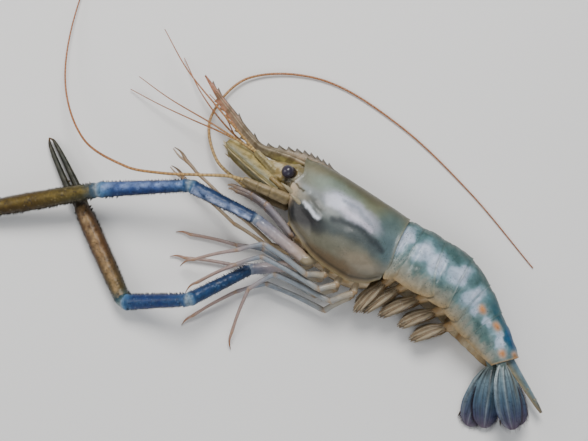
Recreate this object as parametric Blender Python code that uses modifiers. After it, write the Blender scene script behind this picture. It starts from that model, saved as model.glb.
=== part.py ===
"""Giant river prawn, lying still on its right side, at life size.

Frame: +X from the head towards the tail, +Y towards the back, +Z up, which is the prawn's left.
The origin is the spot on the floor under the widest part of the carapace.
Tables and sizes are in millimetres, and meshes are made in metres.
"""

import math

import bmesh
import bpy
import numpy as np
from mathutils import Matrix, Vector

MM = 0.001
GAP = 0.3  # between pieces that touch
HALF_GAP = GAP / 2

# Driving sizes
MID_HEIGHT = 16.8  # of the carapace's plane of symmetry above the floor
CARAPACE_HALF_WIDTH = 17.5
EYE_RADIUS = 3.4
PALM_SHARE = 0.6  # of the claw's length, the rest being the fingers
TELSON_LENGTH = 29.0
TELSON_ROLL = 30.0  # degrees, which turns its back a little towards the side that lies up
UROPOD_LENGTH = 31.5
SCALE_LENGTH = 36.0
SCALE_WIDTH = 12.0
ROSTRUM_TIP = -105.0

# Carapace, along its length from 0 at the front margin to 1 at the rear one
CARAPACE_TOP = ((0, 20.8), (0.15, 22.9), (0.4, 23.9), (0.8, 24.1), (1, 23.4))
CARAPACE_EDGE = ((0, -8.0), (0.1, -14.3), (0.27, -18.9), (0.42, -22.0), (0.58, -23.0), (0.74, -22.6),
                 (0.9, -18.6), (1, -12.6))
CARAPACE_WIDTH = ((0, 0.56), (0.15, 0.78), (0.35, 0.96), (0.6, 1.0), (0.8, 0.97), (1, 0.86))
# Where the carapace starts and ends, along its back ridge and along its lower edge
RIDGE_ENDS = (-34.5, 28.3)
EDGE_ENDS = (-29.5, 33.6)
CARAPACE_ARC = math.radians(140)  # from the back ridge round to the lower edge
EDGE_INSET = 0.58  # inner side of the lower edge, as a share of the half width
RECESS_INSET = 0.40
RECESS_DEPTH = 4.5

# Abdomen: where one segment meets the next, as back point, belly point, mid height and half width
ABDOMEN_JOINTS = (
    ((28.6, 23.2), (34.0, -11.6), 16.7, 14.8),
    ((36.0, 24.2), (38.0, -8.2), 16.1, 15.0),
    ((48.5, 25.3), (54.5, -6.8), 15.0, 15.3),
    ((65.0, 25.6), (66.5, -6.6), 13.8, 14.2),
    ((80.0, 19.6), (74.0, -9.0), 12.2, 12.6),
    ((93.0, 11.4), (83.0, -12.4), 10.5, 10.9),
    ((114.0, -3.8), (103.4, -16.0), 8.3, 8.4),
)
ABDOMEN_ARC = math.radians(112)
STEP_IN = 0.96  # a segment's front, tucked under the one before it
LOBE_DROP = (0.0, 1.6, 2.6, 2.2, 1.8, 1.4, 0.4)  # of each segment's side flap below the line of joints

# Limbs: joints from the root to the tip, and the radius at each
WALKING_RADII = (2.3, 2.1, 1.75, 1.5, 1.2, 0.95, 0.35)
WALKING_LEGS = {
    "leg_3_left": ((7.5, -21.0, 21.0), (7.5, -26.5, 24.0), (0.0, -31.5, 27.5), (-26.0, -31.0, 31.0),
                   (-36.0, -40.5, 26.0), (-54.0, -56.0, 12.0), (-59.0, -62.0, 4.5)),
    "leg_4_left": ((15.0, -20.5, 21.0), (15.5, -27.0, 23.5), (9.5, -33.8, 24.0), (-24.0, -36.5, 26.0),
                   (-33.0, -46.5, 21.0), (-46.0, -64.5, 9.0), (-49.0, -71.5, 2.0)),
    "leg_5_left": ((23.0, -18.5, 21.0), (25.0, -25.0, 22.0), (17.5, -35.2, 19.5), (-14.0, -39.5, 20.0),
                   (-21.0, -53.0, 16.0), (-16.5, -76.0, 5.0), (-12.5, -83.0, 0.9)),
    "leg_3_right": ((7.5, -21.0, 13.4), (6.0, -27.5, 9.0), (-1.0, -30.5, 4.6), (-28.0, -30.0, 3.4),
                    (-41.0, -36.0, 3.0), (-65.0, -45.0, 2.2), (-72.0, -48.0, 0.9)),
    "leg_4_right": ((15.0, -20.5, 13.4), (15.5, -27.5, 9.5), (8.5, -35.5, 5.2), (-24.0, -38.5, 3.4),
                    (-37.0, -46.0, 3.0), (-60.0, -57.0, 2.2), (-67.0, -60.5, 0.9)),
    "leg_5_right": ((23.0, -18.5, 13.4), (24.5, -26.0, 10.5), (17.0, -39.5, 7.0), (-16.0, -44.5, 6.0),
                    (-27.0, -57.0, 5.0), (-39.0, -80.0, 2.0), (-41.0, -87.0, 0.8)),
}
SLENDER_RADII = (2.0, 1.7, 1.35, 1.15, 1.0, 1.25, 0.4)
SLENDER_LEGS = {
    "leg_1_left": ((-9.0, -18.5, 19.6), (-11.0, -24.5, 19.0), (-24.0, -27.5, 18.2), (-49.0, -24.0, 18.6),
                   (-78.0, -17.5, 16.6), (-87.0, -15.0, 16.0), (-96.0, -12.5, 15.4)),
    "leg_1_right": ((-9.0, -18.5, 14.8), (-11.0, -24.5, 14.0), (-24.0, -28.5, 11.0), (-48.0, -28.0, 9.0),
                    (-76.0, -24.0, 6.0), (-85.0, -22.0, 5.2), (-94.0, -20.0, 4.6)),
}
JAW_RADII = (2.4, 2.3, 2.1, 1.8, 1.6, 0.8)
JAW_LEGS = {
    "maxilliped_left": ((-16.0, -14.0, 20.6), (-18.0, -18.0, 21.8), (-38.0, -12.0, 22.8), (-47.0, -11.6, 22.6),
                        (-56.0, -13.2, 22.0), (-60.0, -14.4, 21.6)),
    "maxilliped_right": ((-16.0, -14.0, 13.8), (-18.0, -18.0, 12.6), (-38.0, -12.0, 11.6), (-47.0, -11.6, 11.8),
                         (-56.0, -13.2, 12.4), (-60.0, -14.4, 12.8)),
}
# The great arms: root, then the ends of basis, ischium, merus and carpus, then the claw's end
ARMS = {
    "left": ((-1.0, -20.0, 21.6), (-4.5, -25.0, 24.0), (-37.5, -21.8, 26.0), (-75.0, -26.6, 28.0),
             (-115.3, -54.2, 19.0), (-187.0, -118.6, 3.4)),
    "right": ((-1.0, -20.0, 12.8), (-5.5, -26.5, 12.0), (-26.6, -43.6, 12.0), (-42.4, -75.2, 22.5),
              (-71.9, -94.2, 7.0), (-157.8, -43.4, 2.6)),
}
BASIS_RADIUS = 3.3
ISCHIUM_RADIUS = 2.7
ELBOW_RADIUS = 3.2
WRIST_RADIUS = 3.8
PALM_RADIUS = 4.6

# Head
EYE_LEFT = (-37.5, 7.6, 27.6)
STALK_ROOT_LEFT = (-31.0, 11.2, 21.0)
ANTENNULE_LEFT = ((-31.0, 4.2, 20.1), (-46.0, 5.6, 20.3), (-52.5, 7.2, 20.5), (-58.0, 8.4, 20.7))
ANTENNULE_RADII = (2.5, 2.4, 2.0, 1.6)
ANTENNA_LEFT = ((-29.5, -4.0, 24.3), (-39.0, -6.0, 26.2), (-46.0, -7.4, 26.4), (-54.0, -8.4, 26.0))
ANTENNA_RADII = (3.2, 2.9, 2.5, 1.9)
FLAGELLUM_RADIUS = 0.85
FLAGELLUM_TIP_RADIUS = 0.3
LONG_FLAGELLA = {
    "left": ((-54.0, -8.4, 26.0), (-61.5, -12.0, 29.5), (-74.0, -20.5, 32.6), (-90.0, -30.0, 32.0),
             (-108.0, -37.0, 29.0), (-138.0, -36.0, 19.0), (-168.0, -14.0, 9.0), (-190.0, 26.0, 2.8),
             (-200.0, 70.0, 0.7)),
    "right": ((-54.0, -8.4, 8.4), (-76.0, -4.0, 7.0), (-92.0, 14.0, 4.6), (-88.0, 44.0, 2.4),
              (-54.0, 66.0, 1.2), (-6.0, 68.0, 0.9), (46.0, 58.0, 0.7), (96.0, 42.0, 0.5)),
}
SHORT_FLAGELLA = {
    "left": (((-58.0, 8.4, 20.7), (-84.0, 15.0, 26.0), (-112.0, 24.0, 25.0), (-138.0, 38.0, 16.0)),
             ((-58.0, 8.4, 20.7), (-84.0, 7.5, 24.0), (-112.0, 7.0, 20.0), (-136.0, 10.0, 9.0)),
             ((-58.0, 8.4, 20.7), (-72.0, 12.5, 21.8), (-86.0, 18.0, 21.4), (-96.0, 20.5, 21.0))),
    "right": (((-58.0, 8.4, 13.7), (-82.0, 13.5, 9.5), (-104.0, 22.0, 5.0), (-124.0, 34.0, 1.2)),
              ((-58.0, 8.4, 13.7), (-76.0, 9.0, 12.6), (-100.0, 6.0, 9.0), (-118.0, 4.0, 6.0), (-138.0, 3.0, 1.4)),
              ((-58.0, 8.4, 13.7), (-72.0, 10.5, 11.5), (-84.0, 17.0, 9.6), (-94.0, 20.0, 8.6))),
}

# Rostrum: stations along it with the upper edge, the lower edge and the half thickness of its side ridge
ROSTRUM = ((-18.0, 23.6, 18.5, 0.7), (-26.0, 24.2, 17.5, 1.5), (-34.0, 23.4, 14.2, 2.3), (-42.0, 20.8, 12.2, 2.5),
           (-50.0, 17.4, 10.4, 2.2), (-58.0, 14.6, 9.6, 1.9), (-68.0, 17.0, 11.8, 1.6), (-80.0, 21.2, 16.4, 1.3),
           (-92.0, 25.0, 21.4, 1.0), (ROSTRUM_TIP, 29.2, 28.2, 0.4))
UPPER_TEETH = (-21.5, -25.2, -28.8, -32.4, -36.0, -39.8, -44.0, -48.6, -54.0, -63.0, -76.0, -93.0, -97.5)
LOWER_TEETH = (-59.0, -63.5, -68.0, -72.5, -77.0, -81.5, -86.0, -90.5)
TOOTH_LENGTH = 4.2
TOOTH_HEIGHT = 1.7
TOOTH_THICKNESS = 1.0

# Telson: share of its length, half width and rise; uropods: root, plane and the two blades' headings
TELSON = ((0, 4.9, 3.0), (0.25, 4.4, 2.5), (0.55, 3.5, 1.9), (0.85, 2.4, 1.2), (1, 0.5, 0.5))
UROPODS = {
    "left": ((108.0, -12.6, 13.2), (0.20, 0.24, 0.95), -39, -51),
    "right": ((105.5, -14.8, 4.2), (0.0, -0.06, 1.0), -66, -80),
}
UROPOD_OUTLINE = ((0, -0.07, 0.07), (0.12, -0.14, 0.13), (0.35, -0.21, 0.19), (0.62, -0.23, 0.21),
                  (0.84, -0.19, 0.18), (0.96, -0.10, 0.11), (1.0, -0.03, 0.04))

# Swimmerets of the left side: root and tip, and how far the right ones lie from them
SWIMMERETS = (
    ((38.0, -3.6, 19.8), (29.5, -30.0, 15.5)),
    ((47.5, -1.8, 18.8), (33.0, -27.5, 14.5)),
    ((60.5, -1.2, 17.6), (41.5, -24.0, 13.5)),
    ((70.5, -2.8, 16.0), (53.0, -22.8, 12.0)),
    ((79.5, -6.2, 14.2), (62.0, -25.0, 10.0)),
)
SWIMMERET_TIP_DROP = 9.5  # of the right side's tips below the left side's
STEM_SHARE = 0.36  # of a swimmeret's length, before it forks
LEAF_WIDTH = 6.4
LEAF_THICKNESS = 0.7

# Colours
SHELL_GREY = ((0.30, 0.36, 0.36), 0.32)
SHELL_TEAL = ((0.20, 0.34, 0.38), 0.30)
SHELL_OLIVE = ((0.38, 0.35, 0.20), 0.42)
BELLY_CREAM = ((0.62, 0.54, 0.38), 0.50)
LEG_PALE = ((0.50, 0.55, 0.56), 0.38)
ARM_BLUE = ((0.03, 0.16, 0.42), 0.30)
CLAW_OLIVE = ((0.26, 0.20, 0.07), 0.36)
FAN_NAVY = ((0.03, 0.05, 0.10), 0.28)
EYE_BLACK = ((0.015, 0.012, 0.03), 0.08)
FEELER_TAN = ((0.52, 0.33, 0.16), 0.45)


def clear_scene():
    """Empty the scene, so that only the prawn is in it."""
    for obj in list(bpy.data.objects):
        bpy.data.objects.remove(obj, do_unlink=True)


def new_collection(name):
    """A collection linked to the scene."""
    collection = bpy.data.collections.new(name)
    bpy.context.scene.collection.children.link(collection)
    return collection


clear_scene()
PRAWN = new_collection("giant_river_prawn")
CUTTERS = new_collection("cutters")


def material(name, look):
    """A plain glossy material of one colour, made once for each name."""
    found = bpy.data.materials.get(name)
    if found:
        return found
    colour, roughness = look
    made = bpy.data.materials.new(name)
    made.use_nodes = True
    shader = made.node_tree.nodes["Principled BSDF"]
    shader.inputs["Base Color"].default_value = (*colour, 1.0)
    shader.inputs["Roughness"].default_value = roughness
    shader.inputs["Metallic"].default_value = 0.0
    made.diffuse_color = (*colour, 1.0)
    return made


def add_object(name, bm, mat):
    """Turn a bmesh in millimetres into an object of the prawn, with its faces pointing out."""
    bmesh.ops.recalc_face_normals(bm, faces=bm.faces)
    if bm.calc_volume(signed=True) < 0:
        bmesh.ops.reverse_faces(bm, faces=bm.faces)
    bmesh.ops.scale(bm, vec=(MM, MM, MM), verts=bm.verts)
    mesh = bpy.data.meshes.new(name)
    bm.to_mesh(mesh)
    bm.free()
    mesh.materials.append(mat)
    obj = bpy.data.objects.new(name, mesh)
    PRAWN.objects.link(obj)
    mesh.shade_smooth()
    mesh.set_sharp_from_angle(angle=math.radians(40))
    return obj


def along(table, t):
    """A smooth curve through a short table of (place, value) pairs, read at t."""
    if t <= table[0][0]:
        return table[0][1]
    if t >= table[-1][0]:
        return table[-1][1]
    i = max(k for k in range(len(table) - 1) if table[k][0] <= t)
    (t0, v0), (t1, v1) = table[i], table[i + 1]
    flat = (v1 - v0) / (t1 - t0)

    def slope(k):
        if k == 0 or k == len(table) - 1:
            return flat
        (a, va), (b, vb), (c, vc) = table[k - 1], table[k], table[k + 1]
        before, after = (vb - va) / (b - a), (vc - vb) / (c - b)
        return 0.0 if before * after <= 0 else 2 * before * after / (before + after)

    h = t1 - t0
    s = (t - t0) / h
    return ((1 + 2 * s) * (1 - s) ** 2 * v0 + s * (1 - s) ** 2 * h * slope(i)
            + s * s * (3 - 2 * s) * v1 + s * s * (s - 1) * h * slope(i + 1))


def smooth_path(points, count):
    """Points evenly spread along a smooth curve through a few points."""
    places = [0.0]
    for a, b in zip(points, points[1:]):
        places.append(places[-1] + (Vector(b) - Vector(a)).length)

    def at(t):
        i = max(k for k in range(len(points) - 1) if places[k] <= t + 1e-9)
        knots = [Vector(points[max(0, min(len(points) - 1, k))]) for k in range(i - 1, i + 3)]
        spans = [max(1e-6, (b - a).length) for a, b in zip(knots, knots[1:])]
        start = (knots[2] - knots[0]) / (spans[0] + spans[1]) * spans[1]
        end = (knots[3] - knots[1]) / (spans[1] + spans[2]) * spans[1]
        s = (t - places[i]) / spans[1]
        return (knots[1] * (1 + 2 * s) * (1 - s) ** 2 + start * s * (1 - s) ** 2
                + knots[2] * s * s * (3 - 2 * s) + end * s * s * (s - 1))

    return [at(places[-1] * k / (count - 1)) for k in range(count)]


def loft(name, rings, mat):
    """A closed solid through rings of points, with a fan of faces over each end."""
    bm = bmesh.new()
    made = [[bm.verts.new(p) for p in ring] for ring in rings]
    count = len(rings[0])
    for front, back in zip(made, made[1:]):
        for i in range(count):
            j = (i + 1) % count
            bm.faces.new((front[i], front[j], back[j], back[i]))
    for ring in (made[0], made[-1]):
        centre = bm.verts.new(sum((v.co for v in ring), Vector()) / count)
        for i in range(count):
            bm.faces.new((ring[i], ring[(i + 1) % count], centre))
    return add_object(name, bm, mat)


def tube(name, points, radii, mat, resolution=2):
    """A round limb or wire: a curve with a bevel through the points, made a closed mesh."""
    curve = bpy.data.curves.new(name + "_path", "CURVE")
    curve.dimensions = "3D"
    curve.bevel_depth = MM
    curve.bevel_resolution = resolution
    curve.use_fill_caps = True
    spline = curve.splines.new("POLY")
    spline.points.add(len(points) - 1)
    for place, point, radius in zip(spline.points, points, radii):
        place.co = (*(Vector(point) * MM), 1.0)
        place.radius = radius
    path = bpy.data.objects.new(name + "_path", curve)
    PRAWN.objects.link(path)
    bpy.context.view_layer.update()
    mesh = bpy.data.meshes.new_from_object(path.evaluated_get(bpy.context.evaluated_depsgraph_get()))
    bpy.data.objects.remove(path)
    bm = bmesh.new()
    bm.from_mesh(mesh)
    bpy.data.meshes.remove(mesh)
    bmesh.ops.remove_doubles(bm, verts=bm.verts, dist=MM / 100)
    bmesh.ops.scale(bm, vec=(1 / MM, 1 / MM, 1 / MM), verts=bm.verts)
    return add_object(name, bm, mat)


def tube_cutter(name, points, radii):
    """A hidden tube, a gap longer at each end, that clears the way round a limb for its neighbours."""
    points = [Vector(p) for p in points]
    points[0] += (points[0] - points[1]).normalized() * GAP
    points[-1] += (points[-1] - points[-2]).normalized() * GAP
    return hide_cutter(tube(name + "_cutter", points, radii, material("cutter", SHELL_GREY)))


def blade(name, frame, outline, length, thickness, mat, rise=None, columns=2):
    """A thin leaf: a grid laid along an outline, bent by rise, and given its thickness.

    frame carries the leaf's own X (along), Y (across) and Z (face) into the prawn. outline gives
    (place along, left edge, right edge) as shares of the length. rise(u, v) lifts it off its plane.
    """
    rows = len(outline) - 1
    bm = bmesh.new()
    bmesh.ops.create_grid(bm, x_segments=rows, y_segments=columns, size=0.5)
    for vert in bm.verts:
        row = round((vert.co.x + 0.5) * rows)
        v = (vert.co.y + 0.5)
        place, left, right = outline[row]
        across = left + (right - left) * v
        lift = rise(place, 2 * v - 1) if rise else 0.0
        vert.co = frame @ Vector((place * length, across * length, lift))
    bmesh.ops.triangulate(bm, faces=bm.faces)
    flat = add_object(name, bm, mat)
    shell = flat.modifiers.new("thickness", "SOLIDIFY")
    shell.thickness = thickness * MM
    shell.offset = 0.0
    shell.use_even_offset = False
    bake_modifiers(flat)
    return flat


def bake_modifiers(obj):
    """Keep the shape that the modifiers give, as the object's own mesh."""
    bpy.context.view_layer.update()
    mesh = bpy.data.meshes.new_from_object(obj.evaluated_get(bpy.context.evaluated_depsgraph_get()))
    obj.modifiers.clear()
    old = obj.data
    obj.data = mesh
    bpy.data.meshes.remove(old)


def keep_largest(obj):
    """Drop every loose scrap, so that the node is one closed surface."""
    bm = bmesh.new()
    bm.from_mesh(obj.data)
    bmesh.ops.remove_doubles(bm, verts=bm.verts, dist=MM / 1000)
    left, islands = set(bm.faces), []
    while left:
        island, front = set(), [left.pop()]
        while front:
            face = front.pop()
            island.add(face)
            for edge in face.edges:
                for other in edge.link_faces:
                    if other in left:
                        left.discard(other)
                        front.append(other)
        islands.append(island)
    largest = max(islands, key=lambda faces: sum(f.calc_area() for f in faces))
    scraps = [f for faces in islands if faces is not largest for f in faces]
    bmesh.ops.delete(bm, geom=scraps, context="FACES")
    loose = [v for v in bm.verts if not v.link_faces]
    bmesh.ops.delete(bm, geom=loose, context="VERTS")
    bm.to_mesh(obj.data)
    bm.free()


def fuse(obj, pieces):
    """Join closed pieces to an object with one Boolean union, and remove them."""
    group = bpy.data.collections.new(obj.name + "_pieces")
    for piece in pieces:
        group.objects.link(piece)
    joined = obj.modifiers.new("join", "BOOLEAN")
    joined.operation = "UNION"
    joined.operand_type = "COLLECTION"
    joined.collection = group
    joined.solver = "MANIFOLD"
    bake_modifiers(obj)
    for piece in pieces:
        bpy.data.objects.remove(piece, do_unlink=True)
    bpy.data.collections.remove(group)
    keep_largest(obj)
    return obj


def swollen(obj, by=GAP):
    """A hidden copy of an object, each face moved out by a gap, to cut its neighbours with."""
    bm = bmesh.new()
    bm.from_mesh(obj.data)
    bmesh.ops.triangulate(bm, faces=bm.faces)
    bm.normal_update()
    moves = []
    for vert in bm.verts:
        normals = np.array([face.normal for face in vert.link_faces])
        shift = Vector(np.linalg.lstsq(normals, np.full(len(normals), by * MM), rcond=0.15)[0])
        moves.append(shift.normalized() * min(shift.length, 3 * by * MM))
    for vert, shift in zip(bm.verts, moves):
        vert.co += shift
    mesh = bpy.data.meshes.new(obj.name + "_cutter")
    bm.to_mesh(mesh)
    bm.free()
    return hide_cutter(bpy.data.objects.new(obj.name + "_cutter", mesh))


def hide_cutter(cutter):
    """Keep a cutter out of the render, in its own collection."""
    for home in list(cutter.users_collection):
        home.objects.unlink(cutter)
    CUTTERS.objects.link(cutter)
    cutter.hide_render = True
    cutter.display_type = "WIRE"
    return cutter


def cut(obj, *cutters):
    """Cut an object clear of its neighbours, and keep its largest part."""
    for cutter in cutters:
        clear = obj.modifiers.new("clear", "BOOLEAN")
        clear.operation = "DIFFERENCE"
        clear.object = cutter
        clear.solver = "MANIFOLD"
        bake_modifiers(obj)
    keep_largest(obj)
    return obj


def trim(obj, point, normal):
    """Cut off what lies beyond a plane, and close the cut. Point in millimetres."""
    bm = bmesh.new()
    bm.from_mesh(obj.data)
    geometry = bm.verts[:] + bm.edges[:] + bm.faces[:]
    cut_edges = bmesh.ops.bisect_plane(bm, geom=geometry, plane_co=Vector(point) * MM, plane_no=normal,
                                       clear_outer=True, dist=1e-7)["geom_cut"]
    bmesh.ops.holes_fill(bm, edges=[g for g in cut_edges if isinstance(g, bmesh.types.BMEdge)], sides=0)
    bm.to_mesh(obj.data)
    bm.free()
    return obj


def set_on_floor(obj):
    """Flatten whatever dips below the floor, which makes the small flats that the prawn rests on."""
    for vert in obj.data.vertices:
        vert.co.z = max(vert.co.z, 0.0)
    return obj


def mirrored(points):
    """The same points on the other side of the carapace's plane of symmetry."""
    return tuple((x, y, 2 * MID_HEIGHT - z) for x, y, z in points)


def arc_ring(top, edge, width, arc, mid, steps, inner):
    """A ring of a shell plate: over the back from one lower edge to the other, and back inside.

    top and edge are points in the plane of symmetry, inner holds (share of half width, rise) pairs.
    """
    down = edge - top
    rise = -down.normalized()
    side = Vector((0, 0, 1))
    half = []
    for k in range(1, steps + 1):
        angle = arc * k / steps
        share = (1 - math.cos(angle)) / (1 - math.cos(arc))
        half.append((top + down * share, width * math.sin(angle) ** 0.9))
    for share, lift in inner:
        half.append((edge + rise * lift, width * share))
    middle = Vector((0, 0, mid))
    left = [p + middle + side * w for p, w in half]
    right = [p + middle - side * w for p, w in reversed(half)]
    return [top + middle, *left, *right]


def carapace_section(t):
    """Top point, lower edge point and half width of the carapace at t along its length."""
    top_x = RIDGE_ENDS[0] + (RIDGE_ENDS[1] - RIDGE_ENDS[0]) * t
    edge_x = EDGE_ENDS[0] + (EDGE_ENDS[1] - EDGE_ENDS[0]) * t
    top = Vector((top_x, along(CARAPACE_TOP, t), 0))
    edge = Vector((edge_x, along(CARAPACE_EDGE, t), 0))
    return top, edge, CARAPACE_HALF_WIDTH * along(CARAPACE_WIDTH, t)


def make_carapace():
    """The head and thorax shield, with the recess under it that the thorax fills, and its spines."""
    stations = (0, 0.03, 0.07, 0.13, 0.2, 0.28, 0.37, 0.46, 0.55, 0.64, 0.73, 0.82, 0.9, 0.96, 1)
    inner = ((EDGE_INSET, 0.4), (RECESS_INSET, RECESS_DEPTH))
    rings = []
    for t in stations:
        top, edge, width = carapace_section(t)
        rings.append(arc_ring(top, edge, width, CARAPACE_ARC, MID_HEIGHT, 11, inner))
    mat = material("shell_grey", SHELL_GREY)
    shield = loft("carapace", rings, mat)
    spines = []
    for side in (1, -1):
        for place, root_y, root_z, length in ((-33.5, 0.5, 9.9, 3.6), (-26.5, -2.5, 12.6, 3.2)):
            middle = MID_HEIGHT + side * root_z
            ends = ((place + 3.0, root_y, middle), (place - length, root_y + 0.4, middle + side * 0.9))
            spines.append(tube("spine", ends, (1.3, 0.15), mat, 1))
    return set_on_floor(fuse(shield, spines))


def make_thorax():
    """The body between the legs, filling the recess under the carapace."""
    rings = []
    for k in range(9):
        t = 0.1 + 0.83 * k / 8
        top, edge, width = carapace_section(t)
        half = width * RECESS_INSET - 0.8
        middle = edge + Vector((0, 0, MID_HEIGHT))
        corners = ((half, RECESS_DEPTH - 0.9), (half, 0.0), (half * 0.72, -1.4), (-half * 0.72, -1.4),
                   (-half, 0.0), (-half, RECESS_DEPTH - 0.9))
        rings.append([middle + Vector((0, y, z)) for z, y in corners])
    return loft("thorax", rings, material("belly_cream", BELLY_CREAM))


def rostrum_value(x, column):
    """Upper edge, lower edge or half thickness of the rostrum at x."""
    return along(tuple((-row[0], row[column]) for row in ROSTRUM), -x)


def tooth(x, y, up, slope, mat):
    """One flat tooth, its root sunk in the rostrum's edge, leaning towards the tip."""
    bm = bmesh.new()
    bmesh.ops.create_cone(bm, cap_ends=True, segments=4, radius1=0.5, radius2=0.05, depth=1.0)
    bmesh.ops.rotate(bm, cent=(0, 0, 0), matrix=Matrix.Rotation(math.radians(45), 3, "Z"), verts=bm.verts)
    size = math.sqrt(2)
    height = TOOTH_HEIGHT + 1.6
    for vert in bm.verts:
        lean = -TOOTH_LENGTH * 0.42 * (vert.co.z + 0.5)
        local = Vector((vert.co.x * size * TOOTH_LENGTH + lean, up * (vert.co.z * height),
                        vert.co.y * size * TOOTH_THICKNESS))
        local = Matrix.Rotation(slope, 3, "Z") @ local
        vert.co = local + Vector((x, y + up * (height / 2 - 1.6), MID_HEIGHT))
    return add_object("tooth", bm, mat)


def make_rostrum(carapace_cutter):
    """The saw-edged blade over the eyes, from its crest on the carapace to its upturned tip."""
    mat = material("shell_olive", SHELL_OLIVE)
    rings = []
    stations = [-18.0, -22.0, -26.0, -30.0, -34.0, -38.0, -42.0, -46.0, -50.0, -54.0, -58.0, -63.0, -68.0, -74.0,
                -80.0, -86.0, -92.0, -98.0, ROSTRUM_TIP]
    for x in stations:
        upper, lower, half = (rostrum_value(x, column) for column in (1, 2, 3))
        ridge = lower + 0.38 * (upper - lower)
        edge = min(0.5, half)
        outline = ((upper, -edge), (upper, edge), (ridge, half), (lower, edge), (lower, -edge), (ridge, -half))
        rings.append([Vector((x, y, MID_HEIGHT + z)) for y, z in outline])
    saw = loft("rostrum", rings, mat)
    teeth = []
    for column, up, places in ((1, 1, UPPER_TEETH), (2, -1, LOWER_TEETH)):
        for x in places:
            slope = math.atan2(rostrum_value(x + 1, column) - rostrum_value(x - 1, column), 2)
            teeth.append(tooth(x, rostrum_value(x, column), up, slope, mat))
    return cut(fuse(saw, teeth), carapace_cutter)


def make_eye(side, carapace_cutter):
    """A round eye, and the stalk that carries it, hollowed to fit it."""
    centre, root = (EYE_LEFT, STALK_ROOT_LEFT)
    if side == "right":
        centre, root = mirrored((centre, root))
    bm = bmesh.new()
    bmesh.ops.create_uvsphere(bm, u_segments=14, v_segments=9, radius=EYE_RADIUS)
    bmesh.ops.translate(bm, vec=centre, verts=bm.verts)
    eye = add_object("eye_" + side, bm, material("eye_black", EYE_BLACK))
    root, centre = Vector(root), Vector(centre)
    points = [root, root.lerp(centre, 0.45), root.lerp(centre, 0.8)]
    stalk = tube("eyestalk_" + side, points, (2.2, 2.0, 2.9), material("shell_olive", SHELL_OLIVE))
    cut(stalk, swollen(eye), carapace_cutter)


def make_feelers(side, carapace_cutter):
    """Antennule and antenna stalks, their whips, and the broad scale beside each antenna."""
    olive = material("shell_olive", SHELL_OLIVE)
    tan = material("feeler_tan", FEELER_TAN)
    small, large = ANTENNULE_LEFT, ANTENNA_LEFT
    if side == "right":
        small, large = mirrored(small), mirrored(large)
    peduncle = tube("antennule_" + side, small, ANTENNULE_RADII, olive)
    cut(peduncle, carapace_cutter)
    base = tube("antenna_" + side, large, ANTENNA_RADII, olive)
    cut(base, carapace_cutter)

    sign = 1 if side == "left" else -1
    root = Vector((-37.0, -0.2, MID_HEIGHT + sign * 7.0))
    tip = Vector((-74.0, 4.2, MID_HEIGHT + sign * 6.0))
    length_way = (tip - root).normalized()
    across = Vector((0, -0.70, sign * 0.71))
    across = (across - length_way * across.dot(length_way)).normalized()
    face = length_way.cross(across)
    frame = Matrix((length_way, across, face)).transposed().to_4x4()
    frame.translation = root
    w = SCALE_WIDTH / SCALE_LENGTH
    outline = ((0, -0.16 * w, 0.30 * w), (0.1, -0.36 * w, 0.46 * w), (0.3, -0.52 * w, 0.50 * w),
               (0.55, -0.56 * w, 0.47 * w), (0.8, -0.54 * w, 0.42 * w), (0.93, -0.44 * w, 0.30 * w),
               (1.0, -0.22 * w, 0.02 * w))
    plate = blade("antennal_scale_" + side, frame, outline, SCALE_LENGTH, 0.8, olive,
                  rise=lambda u, v: -1.3 * (1 - v * v) * sign, columns=3)
    stem = tube("stem", (root + Vector((4.5, -0.8, -sign * 0.3)), root + length_way * 6), (1.7, 1.2), olive, 1)
    fuse(plate, [stem])
    cut(plate, carapace_cutter, swollen(base), swollen(peduncle))

    whip_points = smooth_path(LONG_FLAGELLA[side], 46)
    start = (Vector(LONG_FLAGELLA[side][1]) - Vector(LONG_FLAGELLA[side][0])).normalized()
    whip_points[0] = whip_points[0] + start * 1.0
    radii = [FLAGELLUM_RADIUS + (FLAGELLUM_TIP_RADIUS - FLAGELLUM_RADIUS) * (k / 45) ** 0.8 for k in range(46)]
    half = 23
    first = tube("flagellum_" + side + "_near", whip_points[:half + 1], radii[:half + 1], tan, 1)
    second = tube("flagellum_" + side + "_far", whip_points[half:], radii[half:], tan, 1)
    middle = whip_points[half]
    way = (whip_points[half + 1] - whip_points[half - 1]).normalized()
    trim(first, middle - way * HALF_GAP, way)
    trim(second, middle + way * HALF_GAP, -way)
    cut(first, swollen(base))
    set_on_floor(first)
    set_on_floor(second)

    lashes = []
    for index, route in enumerate(SHORT_FLAGELLA[side]):
        points = smooth_path(route, 14)
        thick = 0.62 - 0.06 * index
        lashes.append(tube("lash", points, [thick + (0.26 - thick) * k / 13 for k in range(14)], tan, 1))
    heart = tube("antennule_whips_" + side, (Vector(small[-1]) + Vector((0.8, 0, 0)),
                                             Vector(small[-1]) + Vector((-2.4, 0.7, 0))), (1.1, 0.9), tan, 1)
    fuse(heart, lashes)
    set_on_floor(cut(heart, swollen(peduncle)))


def jointed(points, radii, pinch=0.80):
    """A limb's points and radii, with a slight waist at every joint."""
    made, sizes = [Vector(points[0])], [radii[0]]
    for before, here, after, radius in zip(points, points[1:], points[2:], radii[1:]):
        before, here, after = Vector(before), Vector(here), Vector(after)
        step = radius * 1.15
        made += [here + (before - here).normalized() * step, here, here + (after - here).normalized() * step]
        sizes += [radius * 1.12, radius * pinch, radius]
    return [*made, Vector(points[-1])], [*sizes, radii[-1]]


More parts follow.
